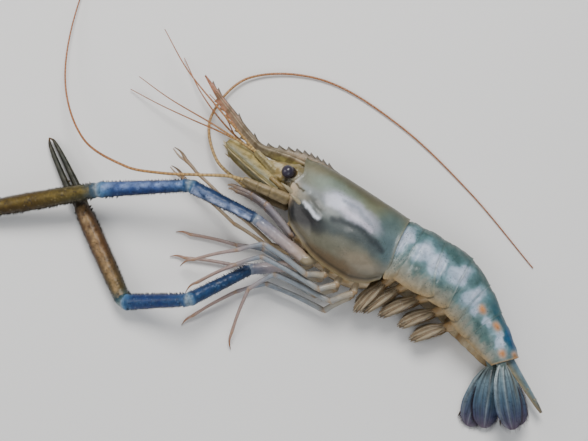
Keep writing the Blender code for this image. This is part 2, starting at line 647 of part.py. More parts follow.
def make_limbs(thorax_cutter, carapace_cutter):
    """Walking legs, the slender first legs with their small pincers, and the leg-like jaws."""
    pale = material("leg_pale", LEG_PALE)
    for legs, radii in ((WALKING_LEGS, WALKING_RADII), (SLENDER_LEGS, SLENDER_RADII), (JAW_LEGS, JAW_RADII)):
        for name, points in legs.items():
            places, sizes = jointed(points, radii)
            leg = tube(name, places, sizes, pale, 1 if legs is SLENDER_LEGS else 2)
            if legs is SLENDER_LEGS:
                hinge, tip = Vector(points[-2]), Vector(points[-1])
                aside = (tip - hinge).cross(Vector((0, 0, 1))).normalized()
                finger = (hinge - aside * 0.3, hinge.lerp(tip, 0.4) - aside * 1.25, tip - aside * 1.0)
                fuse(leg, [tube("finger", finger, (0.8, 0.65, 0.3), pale, 1)])
            set_on_floor(cut(leg, thorax_cutter, carapace_cutter))


def segment(name, start, end, sizes, before, after, mat, resolution=3):
    """One straight length of an arm, cut at each end on the plane that halves the bend there.

    sizes holds (share along, radius) pairs; before and after are the neighbouring joints.
    """
    start, end = Vector(start), Vector(end)
    way = (end - start).normalized()
    reach = (end - start).length
    overrun = 5.0
    places = [-overrun, *(share * reach for share, _ in sizes), reach + overrun]
    radii = [sizes[0][1], *(radius for _, radius in sizes), sizes[-1][1]]
    piece = tube(name, [start + way * p for p in places], radii, mat, resolution)
    if before is not None:
        normal = ((start - Vector(before)).normalized() + way).normalized()
        trim(piece, start + normal * HALF_GAP, -normal)
    if after is not None:
        normal = ((Vector(after) - end).normalized() + way).normalized()
        trim(piece, end - normal * HALF_GAP, normal)
    return piece


def make_arm(side, thorax_cutter, carapace_cutter):
    """A great arm: basis with ischium, merus, carpus, palm with its fixed finger, and movable finger."""
    root, hip, ischium_end, elbow, wrist, tip = (Vector(p) for p in ARMS[side])
    blue, olive = material("arm_blue", ARM_BLUE), material("claw_olive", CLAW_OLIVE)
    pale = material("leg_pale", LEG_PALE)

    upper = segment("arm_" + side + "_ischium", hip, ischium_end,
                    ((0, BASIS_RADIUS), (0.5, 3.0), (0.93, 2.9), (1, ISCHIUM_RADIUS)), None, elbow, pale)
    trim(upper, hip - (ischium_end - hip).normalized() * 1.5, hip - ischium_end)
    coxa = tube("coxa", (root, hip, hip + (ischium_end - hip) * 0.12), (3.0, BASIS_RADIUS, 2.6), pale, 2)
    fuse(upper, [coxa])
    cut(upper, thorax_cutter, carapace_cutter)

    segment("arm_" + side + "_merus", ischium_end, elbow,
            ((0, ISCHIUM_RADIUS), (0.08, 3.0), (0.6, 3.3), (0.93, 3.6), (1, ELBOW_RADIUS)),
            hip, wrist, blue)
    segment("arm_" + side + "_carpus", elbow, wrist,
            ((0, ELBOW_RADIUS), (0.07, 3.3), (0.35, 3.4), (0.75, 3.9), (0.94, 4.2), (1, WRIST_RADIUS)),
            ischium_end, tip, blue)
    make_claw(side, elbow, wrist, tip, blue, olive)


def make_claw(side, elbow, wrist, tip, blue, olive):
    """The palm with its fixed finger, and the movable finger hinged at the palm's end."""
    way = (tip - wrist).normalized()
    reach = (tip - wrist).length
    palm_end = wrist + way * reach * PALM_SHARE
    palm = segment("arm_" + side + "_palm", wrist, palm_end,
                   ((0, WRIST_RADIUS), (0.06, 4.0), (0.3, 4.4), (0.65, PALM_RADIUS), (0.93, 4.2), (1, 3.4)),
                   elbow, None, olive)
    trim(palm, palm_end, way)
    across = way.cross(Vector((0, 0, 1))).normalized()
    if side == "left":
        across = -across
    finger_end = tip + across * 0.6
    fixed = [palm_end - way * 6 + across * 1.6, palm_end + way * 1 + across * 2.2,
             palm_end.lerp(finger_end, 0.5) + across * 1.7, palm_end.lerp(finger_end, 0.93) + across * 0.3,
             finger_end - across * 1.3]
    finger = tube("fixed_finger", fixed, (2.3, 2.2, 1.8, 1.2, 0.35), olive, 2)
    fuse(palm, [finger])
    moving = [palm_end + way * 0.6 - across * 2.0, palm_end + way * 5 - across * 2.4,
              palm_end.lerp(tip, 0.5) - across * 2.5, palm_end.lerp(tip, 0.9) - across * 1.9,
              tip - across * 0.9]
    dactyl = tube("arm_" + side + "_dactyl", moving, (2.0, 2.1, 1.7, 1.2, 0.35), olive, 2)
    cut(dactyl, swollen(palm))
    set_on_floor(palm)
    set_on_floor(dactyl)


def make_abdomen():
    """The six ringed segments behind the carapace. Returns them in order."""
    mat = material("shell_teal", SHELL_TEAL)
    made = []
    for index, (front, back) in enumerate(zip(ABDOMEN_JOINTS, ABDOMEN_JOINTS[1:])):
        rings = []
        shares = (0.0, 0.14, 0.4, 0.7, 1.0) if index != 5 else (0.0, 0.1, 0.35, 0.65, 0.88, 1.0)
        span = (Vector(back[0]) - Vector(front[0])).length
        for share in shares:
            inset = GAP / span * (1 if share == 0 else -1 if share == 1 else 0)
            u = share + inset
            top = Vector((*Vector(front[0]).lerp(Vector(back[0]), u), 0))
            edge = Vector((*Vector(front[1]).lerp(Vector(back[1]), u), 0))
            mid = front[2] + (back[2] - front[2]) * u
            half = front[3] + (back[3] - front[3]) * u
            arch = math.sin(math.pi * share)
            tuck = STEP_IN + (1 - STEP_IN) * min(1.0, share / 0.4)
            down = (edge - top).normalized()
            top = top + down * ((1 - tuck) * 12 - 0.5 * arch)
            edge = edge + down * (LOBE_DROP[index + 1] * (arch - 0.4))
            inner = ((0.84, 0.3), (0.74, 4.2))
            rings.append(arc_ring(top, edge, half * tuck, ABDOMEN_ARC, mid, 8, inner))
        made.append(set_on_floor(loft("abdomen_" + str(index + 1), rings, mat)))
    return made


def fan_frame(root, plane, angle):
    """Axes of a tail fan blade: along its length, across it, and out of its face."""
    way = Vector((math.cos(math.radians(angle)), math.sin(math.radians(angle)), 0))
    way = (way - plane * way.dot(plane)).normalized()
    across = plane.cross(way)
    frame = Matrix((way, across, plane)).transposed().to_4x4()
    frame.translation = Vector(root)
    return frame


def make_tail_fan(last):
    """The telson, and on each side the two blades of a uropod with the short stem they share."""
    teal, navy = material("shell_teal", SHELL_TEAL), material("fan_navy", FAN_NAVY)
    last_cutter = swollen(last)
    rings = []
    root, way = Vector((109.5, -7.6, ABDOMEN_JOINTS[-1][2])), Vector((0.91, -0.41, -0.05)).normalized()
    roll = Matrix.Rotation(math.radians(TELSON_ROLL), 3, way)
    up, side = roll @ Vector((0.41, 0.91, 0)), roll @ Vector((0, 0, 1))
    for share, half, rise in TELSON:
        centre = root + way * (TELSON_LENGTH + 3) * share
        outline = ((half, -0.5), (half * 0.75, rise * 0.55), (0, rise), (-half * 0.75, rise * 0.55), (-half, -0.5),
                   (0, -0.8))
        rings.append([centre + side * z + up * y for z, y in outline])
    telson_cutter = swollen(cut(loft("telson", rings, teal), last_cutter))

    for side, (root, plane, inner, outer) in UROPODS.items():
        root, plane = Vector(root), Vector(plane).normalized()
        stem_root = Vector((root.x - 5.0, root.y + 4.5, root.z))
        blades = {}
        for label, angle, lift, length in (("endopod", inner, -0.95, UROPOD_LENGTH),
                                           ("exopod", outer, 0.95, UROPOD_LENGTH + 1.5)):
            frame = fan_frame(root + plane * (lift if side == "left" else -lift), plane, angle)
            blades[label] = blade("uropod_" + side + "_" + label, frame, UROPOD_OUTLINE, length, 0.9, navy,
                                  rise=lambda u, v: 0.55 * (1 - abs(v)) * (1 - u * 0.6), columns=4)
        fork = frame @ Vector((2.5, 0, 0))
        route, girth = (stem_root, root, fork), (2.6, 2.6, 1.4)
        fuse(blades["exopod"], [tube("stem", route, girth, teal, 2)])
        cut(blades["exopod"], last_cutter, telson_cutter)
        grown = tube_cutter("stem", route, [r + GAP for r in girth])
        cut(blades["endopod"], grown, last_cutter, telson_cutter)
        set_on_floor(blades["exopod"])
        set_on_floor(blades["endopod"])


def make_swimmerets(segments, carapace_cutter, thorax_cutter):
    """Five pairs under the abdomen, each a flat stem that forks into two leaves."""
    mat = material("belly_cream", BELLY_CREAM)
    leaf = ((0, -0.10, 0.10), (0.2, -0.17, 0.17), (0.5, -0.19, 0.19), (0.8, -0.13, 0.13), (1.0, -0.04, 0.04))
    cutters = [carapace_cutter, thorax_cutter, *(swollen(segment) for segment in segments)]
    for index, (root, tip) in enumerate(SWIMMERETS):
        mid = (ABDOMEN_JOINTS[index][2] + ABDOMEN_JOINTS[index + 1][2]) / 2
        for side in ("left", "right"):
            start, end = Vector(root), Vector(tip)
            if side == "right":
                start.z = 2 * mid - start.z
                end.z = end.z - SWIMMERET_TIP_DROP
            way = (end - start).normalized()
            fork = start.lerp(end, STEM_SHARE)
            stem = tube("swimmeret_" + str(index + 1) + "_" + side, (start, start.lerp(fork, 0.5), fork),
                        (1.9, 2.1, 1.6), mat, 1)
            leaves = []
            for shift, splay in ((1, 0.12), (-1, -0.12)):
                across = Vector((0.80, -0.34, 0.50))
                across = (across - way * across.dot(way)).normalized()
                lean = (way + across * splay).normalized()
                sideways = (across - lean * across.dot(lean)).normalized()
                frame = Matrix((lean, sideways, lean.cross(sideways))).transposed().to_4x4()
                frame.translation = fork - lean * 2.2 + way.cross(across) * shift * 0.75
                length = (end - fork).length + 2.2 - (0 if shift > 0 else 2.5)
                scale = LEAF_WIDTH / length / 0.38
                shape = tuple((u, a * scale, b * scale) for u, a, b in leaf)
                leaves.append(blade("leaf", frame, shape, length, LEAF_THICKNESS, mat,
                                    rise=lambda u, v: 0.5 * (1 - abs(v)), columns=2))
            fuse(stem, leaves)
            nearby = cutters[:4] if index == 0 else cutters[index + 1:index + 4]
            set_on_floor(cut(stem, *nearby))


def main():
    """Build every node of the prawn."""
    carapace = make_carapace()
    thorax = make_thorax()
    carapace_cutter, thorax_cutter = swollen(carapace), swollen(thorax)
    cut(thorax, carapace_cutter)
    make_rostrum(carapace_cutter)
    for side in ("left", "right"):
        make_eye(side, carapace_cutter)
        make_feelers(side, carapace_cutter)
        make_arm(side, thorax_cutter, carapace_cutter)
    make_limbs(thorax_cutter, carapace_cutter)
    segments = make_abdomen()
    make_tail_fan(segments[-1])
    make_swimmerets(segments, carapace_cutter, thorax_cutter)


main()
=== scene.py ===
"""Giant river prawn, life size, lying still on its right side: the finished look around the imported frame.

Frame: +X from the head towards the tail, +Y towards the back, +Z up, which is the prawn's left.
Tables and sizes are in millimetres, meshes in metres. Colours are linear red, green and blue.
"""

import logging
import math
from dataclasses import dataclass, field
from enum import Enum
from typing import Callable, Sequence

import bmesh
import bpy
import numpy as np
from mathutils import Matrix, Vector


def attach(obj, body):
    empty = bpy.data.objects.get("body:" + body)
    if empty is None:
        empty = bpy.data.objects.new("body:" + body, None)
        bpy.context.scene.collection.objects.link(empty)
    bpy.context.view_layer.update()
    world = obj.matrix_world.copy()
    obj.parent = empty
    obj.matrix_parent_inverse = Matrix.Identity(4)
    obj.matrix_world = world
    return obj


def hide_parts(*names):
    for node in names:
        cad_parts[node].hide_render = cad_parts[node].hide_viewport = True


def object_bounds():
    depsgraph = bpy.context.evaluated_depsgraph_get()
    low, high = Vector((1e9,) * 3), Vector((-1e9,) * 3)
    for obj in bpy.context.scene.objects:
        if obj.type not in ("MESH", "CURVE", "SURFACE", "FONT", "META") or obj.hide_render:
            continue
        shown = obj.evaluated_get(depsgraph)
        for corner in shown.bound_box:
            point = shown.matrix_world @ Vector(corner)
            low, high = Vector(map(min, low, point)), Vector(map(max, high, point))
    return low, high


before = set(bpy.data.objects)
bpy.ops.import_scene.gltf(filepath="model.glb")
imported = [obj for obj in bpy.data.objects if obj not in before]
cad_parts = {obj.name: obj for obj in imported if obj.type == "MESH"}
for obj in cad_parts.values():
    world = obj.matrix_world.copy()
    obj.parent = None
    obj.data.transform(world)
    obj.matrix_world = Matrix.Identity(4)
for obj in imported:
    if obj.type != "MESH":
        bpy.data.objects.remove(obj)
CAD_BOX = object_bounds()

LOG = logging.getLogger("prawn")
MM = 0.001
MID = 16.8  # height of the carapace's plane of symmetry
LOWEST, HIGHEST = (tuple(value / MM for value in corner) for corner in CAD_BOX)

Array = np.ndarray
Colour = tuple[float, float, float]
Point = tuple[float, float, float]
Table = tuple[tuple[float, ...], ...]
DEPTH = 1.4  # how much the painted colours deepen under the gloss


class Side(Enum):
    """The prawn's two sides: its left lies up, its right lies on the floor."""

    LEFT = "left"
    RIGHT = "right"

    @property
    def sign(self) -> int:
        """+1 for the side that lies up, -1 for the one below."""
        return 1 if self is Side.LEFT else -1


# Curves, relief and soft marks of colour.

def read_table(table: Table, at: Array | float) -> Array:
    """Read a smooth, never overshooting curve through a short table.

    Args:
        table: (place, value) pairs in order.
        at: the places to read it at.

    Returns:
        The values there.
    """
    x, y = np.array(table, float).T
    at = np.clip(np.asarray(at, float), x[0], x[-1])
    span = np.diff(x)
    flat = np.diff(y) / span
    slope = np.concatenate((flat[:1], np.zeros(len(x) - 2), flat[-1:]))
    same_way = flat[:-1] * flat[1:]
    total = np.where(same_way > 0, flat[:-1] + flat[1:], 1)
    slope[1:-1] = np.where(same_way > 0, 2 * same_way / total, 0)
    i = np.clip(np.searchsorted(x, at, side="right") - 1, 0, len(x) - 2)
    s = (at - x[i]) / span[i]
    return ((1 + 2 * s) * (1 - s) ** 2 * y[i] + s * (1 - s) ** 2 * span[i] * slope[i] + s * s * (3 - 2 * s) *
        y[i + 1] + s * s * (s - 1) * span[i] * slope[i + 1])


def smooth_path(points: Sequence[Point], count: int) -> Array:
    """Spread points evenly along a smooth curve through a few points.

    Args:
        points: the points that the curve goes through.
        count: how many points to give back.

    Returns:
        An array of count points.
    """
    knots = np.array(points, float)
    spans = np.linalg.norm(np.diff(knots, axis=0), axis=1)
    places = np.concatenate(([0], np.cumsum(spans)))
    made = []
    for t in np.linspace(0, places[-1], count):
        i = int(np.clip(np.searchsorted(places, t + 1e-9, side="right") - 1, 0, len(knots) - 2))
        near = [knots[max(0, min(len(knots) - 1, k))] for k in range(i - 1, i + 3)]
        gaps = [max(1e-6, float(np.linalg.norm(b - a))) for a, b in zip(near, near[1:])]
        start = (near[2] - near[0]) / (gaps[0] + gaps[1]) * gaps[1]
        end = (near[3] - near[1]) / (gaps[1] + gaps[2]) * gaps[1]
        s = (t - places[i]) / gaps[1]
        made.append(near[1] * (1 + 2 * s) * (1 - s) ** 2 + start * s * (1 - s) ** 2 + near[2] * s * s *
            (3 - 2 * s) + end * s * s * (s - 1))
    return np.array(made)


def unit(vectors: Array) -> Array:
    """Vectors along the last axis, each made one long."""
    vectors = np.asarray(vectors, float)
    return vectors / np.maximum(np.linalg.norm(vectors, axis=-1, keepdims=True), 1e-12)


def frames_along(path: Array, up: Point = (0, 0, 1)) -> tuple[Array, Array, Array]:
    """Carry a pair of cross directions along a path without twist.

    Args:
        path: points along the path.
        up: the direction to start from.

    Returns:
        The path's own direction, the side direction and the up direction at each point.
    """
    ways = unit(np.gradient(path, axis=0))
    ups, current = [], np.array(up, float)
    for way in ways:
        current = unit(current - way * (current @ way))
        ups.append(current)
    lifted = np.array(ups)
    return ways, np.cross(ways, lifted), lifted


def ripple(points: Array, wavelength: float, seed: int, octaves: int = 3) -> Array:
    """Soft, seeded unevenness over space.

    Args:
        points: places in millimetres, along the last axis.
        wavelength: size of the largest waves.
        seed: picks the pattern.
        octaves: how many finer layers are added.

    Returns:
        Values from about -1 to 1.
    """
    source = np.random.default_rng(seed)
    total = np.zeros(points.shape[:-1])
    for octave in range(octaves):
        for _ in range(5):
            way = unit(source.normal(size=points.shape[-1]))
            pitch = 2 * math.pi * 2 ** octave / wavelength * source.uniform(0.75, 1.3)
            total = total + 0.5 ** octave * np.sin(points @ way * pitch + source.uniform(0, 6.28))
    return total / 3.2


def smoothstep(low: float, high: float, value: Array) -> Array:
    """A soft step from 0 at low to 1 at high, where high may be the smaller."""
    s = np.clip((value - low) / (high - low), 0, 1)
    return s * s * (3 - 2 * s)


def bell(offset: Array, width: float) -> Array:
    """A smooth hump of height 1 where the offset is 0, that falls off over a width."""
    return np.exp(-(offset / width) ** 2)


def turned(angle: Array) -> Array:
    """Angles in radians, brought between minus and plus half a turn."""
    return np.angle(np.exp(1j * angle))


def around(count: int) -> Array:
    """Angles evenly spread round a full turn."""
    return np.linspace(0, 2 * math.pi, count, endpoint=False)


def spread(table: Table, count: int) -> Array:
    """A table's curve, read at places spread evenly from 0 to 1."""
    return read_table(table, np.linspace(0, 1, count))


def column(table: Table, number: int, at: Array | float) -> Array:
    """Read a smooth curve through one of a table's further columns."""
    return read_table(tuple((row[0], row[number]) for row in table), at)


def blend(first: Array, second: Array | Colour, share: Array) -> Array:
    """Mix two colours over an array, by a share from 0 to 1."""
    return first + (np.asarray(second, float) - first) * np.clip(share, 0, 1)[..., None]


def ramp(value: Array, stops: Sequence[tuple[float, Colour]]) -> Array:
    """Colours read off a short list of (place, colour) stops."""
    places = [place for place, _ in stops]
    return np.stack([np.interp(value, places, [colour[c] for _, colour in stops]) for c in range(3)], axis=-1)


@dataclass(frozen=True)
class Spot:
    """A soft-edged oval on the flank: middle, half sizes along and up, and its turn in degrees."""

    x: float
    y: float
    along: float
    up: float
    turn: float = 0.0
    soft: float = 0.55

    def mask(self, flank: Array) -> Array:
        """Find how far each point lies inside the spot.

        Args:
            flank: points, of which x and y are read.

        Returns:
            Shares from 0 to 1.
        """
        a = math.radians(self.turn)
        dx, dy = flank[..., 0] - self.x, flank[..., 1] - self.y
        u, v = dx * math.cos(a) + dy * math.sin(a), dy * math.cos(a) - dx * math.sin(a)
        reach = np.sqrt((u / self.along) ** 2 + (v / self.up) ** 2)
        return 1 - smoothstep(1 - self.soft, 1 + self.soft, reach)


@dataclass(frozen=True)
class Streak:
    """A soft-edged line on the flank, through points and of a half width."""

    points: tuple[tuple[float, float], ...]
    width: float
    soft: float = 0.6

    def mask(self, flank: Array) -> Array:
        """Find how far each point lies on the line.

        Args:
            flank: points, of which x and y are read.

        Returns:
            Shares from 0 to 1.
        """
        nearest = np.full(flank.shape[:-1], 1e9)
        for a, b in zip(self.points, self.points[1:]):
            start, way = np.array(a, float), np.array(b, float) - np.array(a, float)
            share = np.clip(((flank[..., :2] - start) @ way) / (way @ way), 0, 1)
            nearest = np.minimum(nearest, np.linalg.norm(flank[..., :2] - start - share[..., None] * way,
                axis=-1))
        return 1 - smoothstep(self.width * (1 - self.soft), self.width * (1 + self.soft), nearest)


Mark = tuple[Spot | Streak, Colour, float]


def paint(tint: Array, points: Array, marks: Sequence[Mark], stray: float, seed: int) -> Array:
    """Lay marks of colour over a tint, with wandering edges.

    Args:
        tint: colours so far.
        points: where they are.
        marks: (shape, colour, strength) in the order they are laid.
        stray: how far an edge wanders, in millimetres.
        seed: picks the wandering.

    Returns:
        The new colours.
    """
    flank = points[..., :2].copy()
    flank[..., 0] += stray * ripple(points, 9, seed)
    flank[..., 1] += stray * ripple(points, 8, seed + 1)
    for shape, colour, strength in marks:
        tint = blend(tint, colour, strength * shape.mask(flank))
    return tint


LINE = (0.085, 0.07, 0.03)
# Dark lines that radiate round the eye; the first mark, a dark round spot just under the eye, is a painted
# shadow.
EYE_LINES_AND_SHADOW: tuple[Mark, ...] = ((Spot(-35.6, 4.4, 2.4, 1.6, -30, 0.7), (0.05, 0.04, 0.02), 0.9),
    (Streak(((-34.6, 5.2), (-29, 4.2), (-24.4, 3.2)), 0.5, 0.8), LINE, 0.85),
    (Streak(((-36, 4), (-34.8, -0.5), (-33.6, -4.6)), 0.32, 0.8), LINE, 0.8),
    (Streak(((-35.4, 4), (-33.2, 0), (-31.2, -3.4)), 0.32, 0.8), LINE, 0.8),
    (Streak(((-34.6, 4.4), (-31.6, 1), (-29.2, -1.6)), 0.32, 0.8), LINE, 0.75),
    (Streak(((-37.4, 3.6), (-38.3, 1.6), (-38.1, -1.1)), 0.35, 0.8), LINE, 0.7),)

# Meshes.

def new_mesh() -> bmesh.types.BMesh:
    """Start an empty mesh with the layers that the finishes read.

    Returns:
        The mesh.
    """
    bm = bmesh.new()
    bm.loops.layers.uv.new("Wrap")
    bm.verts.layers.float_color.new("tint")
    return bm


def weave(bm: bmesh.types.BMesh, rows: Array, tint: Array | Colour, closed: bool = True) -> None:
    """Lay one skin of faces through rows of points.

    Args:
        bm: the mesh that takes it.
        rows: points as rows along and columns around.
        tint: a colour for each point, or one for all.
        closed: whether the last column joins the first.
    """
    tint = np.broadcast_to(np.asarray(tint, float), rows.shape) ** DEPTH
    if closed:
        rows = np.concatenate((rows, rows[:, :1]), axis=1)
        tint = np.concatenate((tint, tint[:, :1]), axis=1)
    long, wide = rows.shape[0] - 1, rows.shape[1] - 1
    made = bmesh.ops.create_grid(bm, x_segments=long, y_segments=wide, size=0.5, calc_uvs=True)["verts"]
    layer = bm.verts.layers.float_color["tint"]
    places, colours = rows.tolist(), tint.tolist()
    for vert in made:
        i, j = round((vert.co.x + 0.5) * long), round((vert.co.y + 0.5) * wide)
        vert.co = places[i][j]
        vert[layer] = (*colours[i][j], 1)
    bmesh.ops.remove_doubles(bm, verts=made, dist=1e-4)


def spine(bm: bmesh.types.BMesh, root: Array, way: Array, length: float, radius: float, tint: Colour,
        sides: int = 5) -> list[bmesh.types.BMVert]:
    """Set one small pointed cone.

    Args:
        bm: the mesh that takes it.
        root: the middle of its foot.
        way: where it points, one long.
        length: from foot to tip.
        radius: of its foot.
        tint: its colour.
        sides: how many faces go round it.

    Returns:
        Its vertices.
    """
    turn = Vector((0, 0, 1)).rotation_difference(Vector(way)).to_matrix().to_4x4()
    place = Matrix.Translation(Vector(root) + Vector(way) * length * 0.5) @ turn
    made = bmesh.ops.create_cone(bm, cap_ends=True, segments=sides, radius1=radius, radius2=radius * 0.12,
        depth=length, matrix=place)["verts"]
    layer = bm.verts.layers.float_color["tint"]
    for vert in made:
        vert[layer] = (*(value ** DEPTH for value in tint), 1)
    return made


def push_out(rows: Array, height: Array) -> Array:
    """Move each point of a closed skin out along its own normal.

    Args:
        rows: the skin's points.
        height: how far each one moves.

    Returns:
        The moved points.
    """
    wrapped = np.concatenate((rows[:, -1:], rows, rows[:, :1]), axis=1)
    across = (wrapped[:, 2:] - wrapped[:, :-2])
    along = np.gradient(rows, axis=0)
    normal = unit(np.cross(along, across))
    middle = rows.mean(axis=1, keepdims=True)
    outward = np.sign(np.sum(normal * (rows - middle), axis=(1, 2), keepdims=True))
    return rows + normal * outward * height[..., None]


END_DOME = ((0.55, 0), (0.52, 0.35), (0.42, 0.65), (0.25, 0.88))


def round_rows(path: Array, radius: Array, count: int, flat: float = 1, up: Point = (0, 0, 1),
        domes: tuple[float, float] = (1, 1)) -> Array:
    """Rows of points round a path, with a dome over each end.

    Args:
        path: the middle line.
        radius: its radius at each point.
        count: points in a ring; the first one lies on the up side.
        flat: width of the ring from side to side, as a share of its height.
        up: the direction that the first point starts from.
        domes: height of the two end domes, as shares of a round one.

    Returns:
        The rows.
    """
    ways, sides, ups = frames_along(path, up)
    angle = around(count)
    ring = np.cos(angle)[None, :, None] * ups[:, None] + flat * np.sin(angle)[None, :, None] * sides[:, None]
    rows = path[:, None] + ring * radius[:, None, None]
    first = [path[0] - ways[0] * radius[0] * reach * domes[0] + ring[0] * radius[0] * share
        for reach, share in END_DOME]
    last = [path[-1] + ways[-1] * radius[-1] * reach * domes[1] + ring[-1] * radius[-1] * share
        for reach, share in reversed(END_DOME)]
    return np.concatenate((np.array(first, float), rows, np.array(last, float)))


def closed_off(rows: Array) -> Array:
    """Rows of rings, with each open end drawn together at its middle."""
    first, last = (np.broadcast_to(rows[k].mean(axis=0), rows[k].shape)[None] for k in (0, -1))
    return np.concatenate((first, rows, last))


def past_domes(run: Array) -> Array:
    """A value for each ring of a path, carried on over the rings of its two end domes."""
    return np.pad(run, len(END_DOME), mode="edge")


def leaf_rows(outline: Table, length: float, thick: float, columns: int, count: int,
        rise: Callable[[Array, Array], Array], ribs: Sequence[tuple[float, float, float]] = ()) -> Array:
    """Rows of points over a thin leaf with raised ribs, lying along +X with its face to +Z.

    Args:
        outline: (place along, left edge, right edge) as shares of the length.
        length: of the leaf.
        thick: its thickness in the middle.
        columns: points across one face.
        count: rows along it.
        rise: lift of the leaf off its plane, from the place along and across.
        ribs: (place across from -1 to 1, height, half width) of each rib.

    Returns:
        The rows, each a ring over the upper face and back under it.
    """
    along = np.linspace(0, 1, count)[:, None]
    across = np.linspace(-1, 1, columns)[None, :]
    left, right = (column(outline, k, along) * length for k in (1, 2))
    y = left + (right - left) * (across + 1) / 2
    half = thick / 2 * (0.25 + 0.75 * (1 - across ** 4)) * np.sqrt(np.clip(1 - along ** 6, 0.04, 1))
    lift = rise(along, across) + 0 * y
    bump = sum((h * bell(across - place, w) * (1 - 0.6 * along) for place, h, w in ribs), 0 * y)
    x = along * length + 0 * y
    upper = np.stack((x, y, lift + half + bump), axis=-1)
    lower = np.stack((x, y, lift - half - 0.5 * bump), axis=-1)[:, ::-1]
    return closed_off(np.concatenate((upper, lower), axis=1))


def leaf_places(rows: Array) -> tuple[Array, Array]:
    """Find where each point of a leaf's rows lies on it.

    Args:
        rows: as leaf_rows gives them.

    Returns:
        The share along from 0 to 1, and the place across from -1 to 1.
    """
    count, columns = rows.shape[0] - 2, rows.shape[1] // 2
    u = np.concatenate(([0], np.linspace(0, 1, count), [1]))[:, None]
    v = np.concatenate((np.linspace(-1, 1, columns), np.linspace(1, -1, columns)))[None, :]
    return u + 0 * rows[..., 0], v + 0 * rows[..., 0]


def carried(rows: Array, along: Array, across: Array, face: Array, root: Array) -> Array:
    """Rows of points in a piece's own axes, put in place in the prawn."""
    return root + rows[..., :1] * along + rows[..., 1:2] * across + rows[..., 2:] * face


# Finishes.

Sockets = dict[str, bpy.types.NodeSocket]


def wired(tree: bpy.types.NodeTree, kind: str, inputs: dict[str | int, object],
        **settings: object) -> bpy.types.Node:
    """Add a shader node, set it up and feed its inputs.

    Args:
        tree: takes the node.
        kind: the end of its type's name.
        inputs: by name or number, the socket that feeds each, or its plain value.
        settings: the node's own properties.

    Returns:
        The node.
    """
    node = tree.nodes.new("ShaderNode" + kind)
    for label, value in settings.items():
        setattr(node, label, value)
    for label, value in inputs.items():
        if isinstance(value, bpy.types.NodeSocket):
            tree.links.new(value, node.inputs[label])
        else:
            node.inputs[label].default_value = value
    return node


def maths(tree: bpy.types.NodeTree, operation: str, *values: object,
        clamp: bool = False) -> bpy.types.NodeSocket:
    """A maths node fed with sockets or plain numbers, giving its result socket."""
    return wired(tree, "Math", dict(enumerate(values)), operation=operation, use_clamp=clamp).outputs[0]


@dataclass(frozen=True)
class Effect:
    """An effect that the finishes share: a node group with named inputs and outputs, built once."""

    name: str
    inputs: tuple[tuple[str, str, float], ...]
    outputs: tuple[tuple[str, str], ...]
    wire: Callable[[bpy.types.NodeTree, Sockets], Sockets]

    def group(self) -> bpy.types.NodeTree:
        """Build the group, or find it where it is built already.

        Returns:
            The group.
        """
        tree = bpy.data.node_groups.get(self.name)
        if tree:
            return tree
        tree = bpy.data.node_groups.new(self.name, "ShaderNodeTree")
        for label, kind, value in self.inputs:
            made = tree.interface.new_socket(name=label, in_out="INPUT", socket_type="NodeSocket" + kind)
            if kind == "Float":
                made.default_value = value
        for label, kind in self.outputs:
            tree.interface.new_socket(name=label, in_out="OUTPUT", socket_type="NodeSocket" + kind)
        given, out = tree.nodes.new("NodeGroupInput"), tree.nodes.new("NodeGroupOutput")
        for label, socket in self.wire(tree, {slot.name: slot for slot in given.outputs}).items():
            tree.links.new(socket, out.inputs[label])
        return tree

    def place(self, tree: bpy.types.NodeTree, inputs: dict[str, object],
            label: str = "") -> bpy.types.NodeOutputs:
        """Place the effect in a material with its own values, and give its outputs."""
        return wired(tree, "Group", inputs, node_tree=self.group(), label=label).outputs


def wire_marbling(tree: bpy.types.NodeTree, given: Sockets) -> Sockets:
    """Let a colour swing lighter and darker in soft clouds.

    Args:
        tree: of the effect.
        given: its inputs.

    Returns:
        Its outputs.
    """
    noise = wired(tree, "TexNoise", {"Vector": given["Vector"], "Scale": given["Cloud size"], "Detail": 5,
        "Roughness": 0.62, "Distortion": 0.6}).outputs["Fac"]
    cloud = maths(tree, "MULTIPLY_ADD", noise, 4, -2)
    gain = maths(tree, "MAXIMUM", maths(tree, "MULTIPLY_ADD", cloud, given["Swing"], 1), 0.15)
    scaled = wired(tree, "VectorMath", {0: given["Colour"], "Scale": gain}, operation="SCALE")
    return {"Colour": scaled.outputs[0], "Cloud": noise}


def wire_dots(tree: bpy.types.NodeTree, given: Sockets) -> Sockets:
    """Scatter pigment cells: dots of uneven size, gathered in clouds.

    Args:
        tree: of the effect.
        given: its inputs.

    Returns:
        Its outputs.
    """
    cells = wired(tree, "TexVoronoi", {"Vector": given["Vector"], "Scale": given["Dot pitch"]})
    clouds = wired(tree, "TexNoise", {"Vector": given["Vector"], "Scale": given["Gathering"], "Detail": 2})
    chance = wired(tree, "SeparateColor", {0: cells.outputs["Color"]}).outputs[0]
    girth = maths(tree, "MULTIPLY", given["Dot size"], maths(tree, "MULTIPLY_ADD", chance, 1.1, 0.35))
    girth = maths(tree, "MULTIPLY", girth, maths(tree, "MULTIPLY_ADD", clouds.outputs["Fac"], 2.4, -0.4))
    inside = maths(tree, "SUBTRACT", girth, cells.outputs["Distance"])
    return {"Dots": maths(tree, "MULTIPLY", inside, 9, clamp=True)}


def wire_grain(tree: bpy.types.NodeTree, given: Sockets) -> Sockets:
    """Raise fine relief: small pits and soft unevenness, as a height.

    Args:
        tree: of the effect.
        given: its inputs.

    Returns:
        Its outputs.
    """
    pits = wired(tree, "TexVoronoi", {"Vector": given["Vector"], "Scale": given["Pit pitch"]},
        feature="SMOOTH_F1")
    waves = wired(tree, "TexNoise", {"Vector": given["Vector"], "Scale": given["Wave pitch"], "Detail": 3})
    height = maths(tree, "MULTIPLY_ADD", pits.outputs["Distance"], given["Pit depth"], waves.outputs["Fac"])
    return {"Height": height}


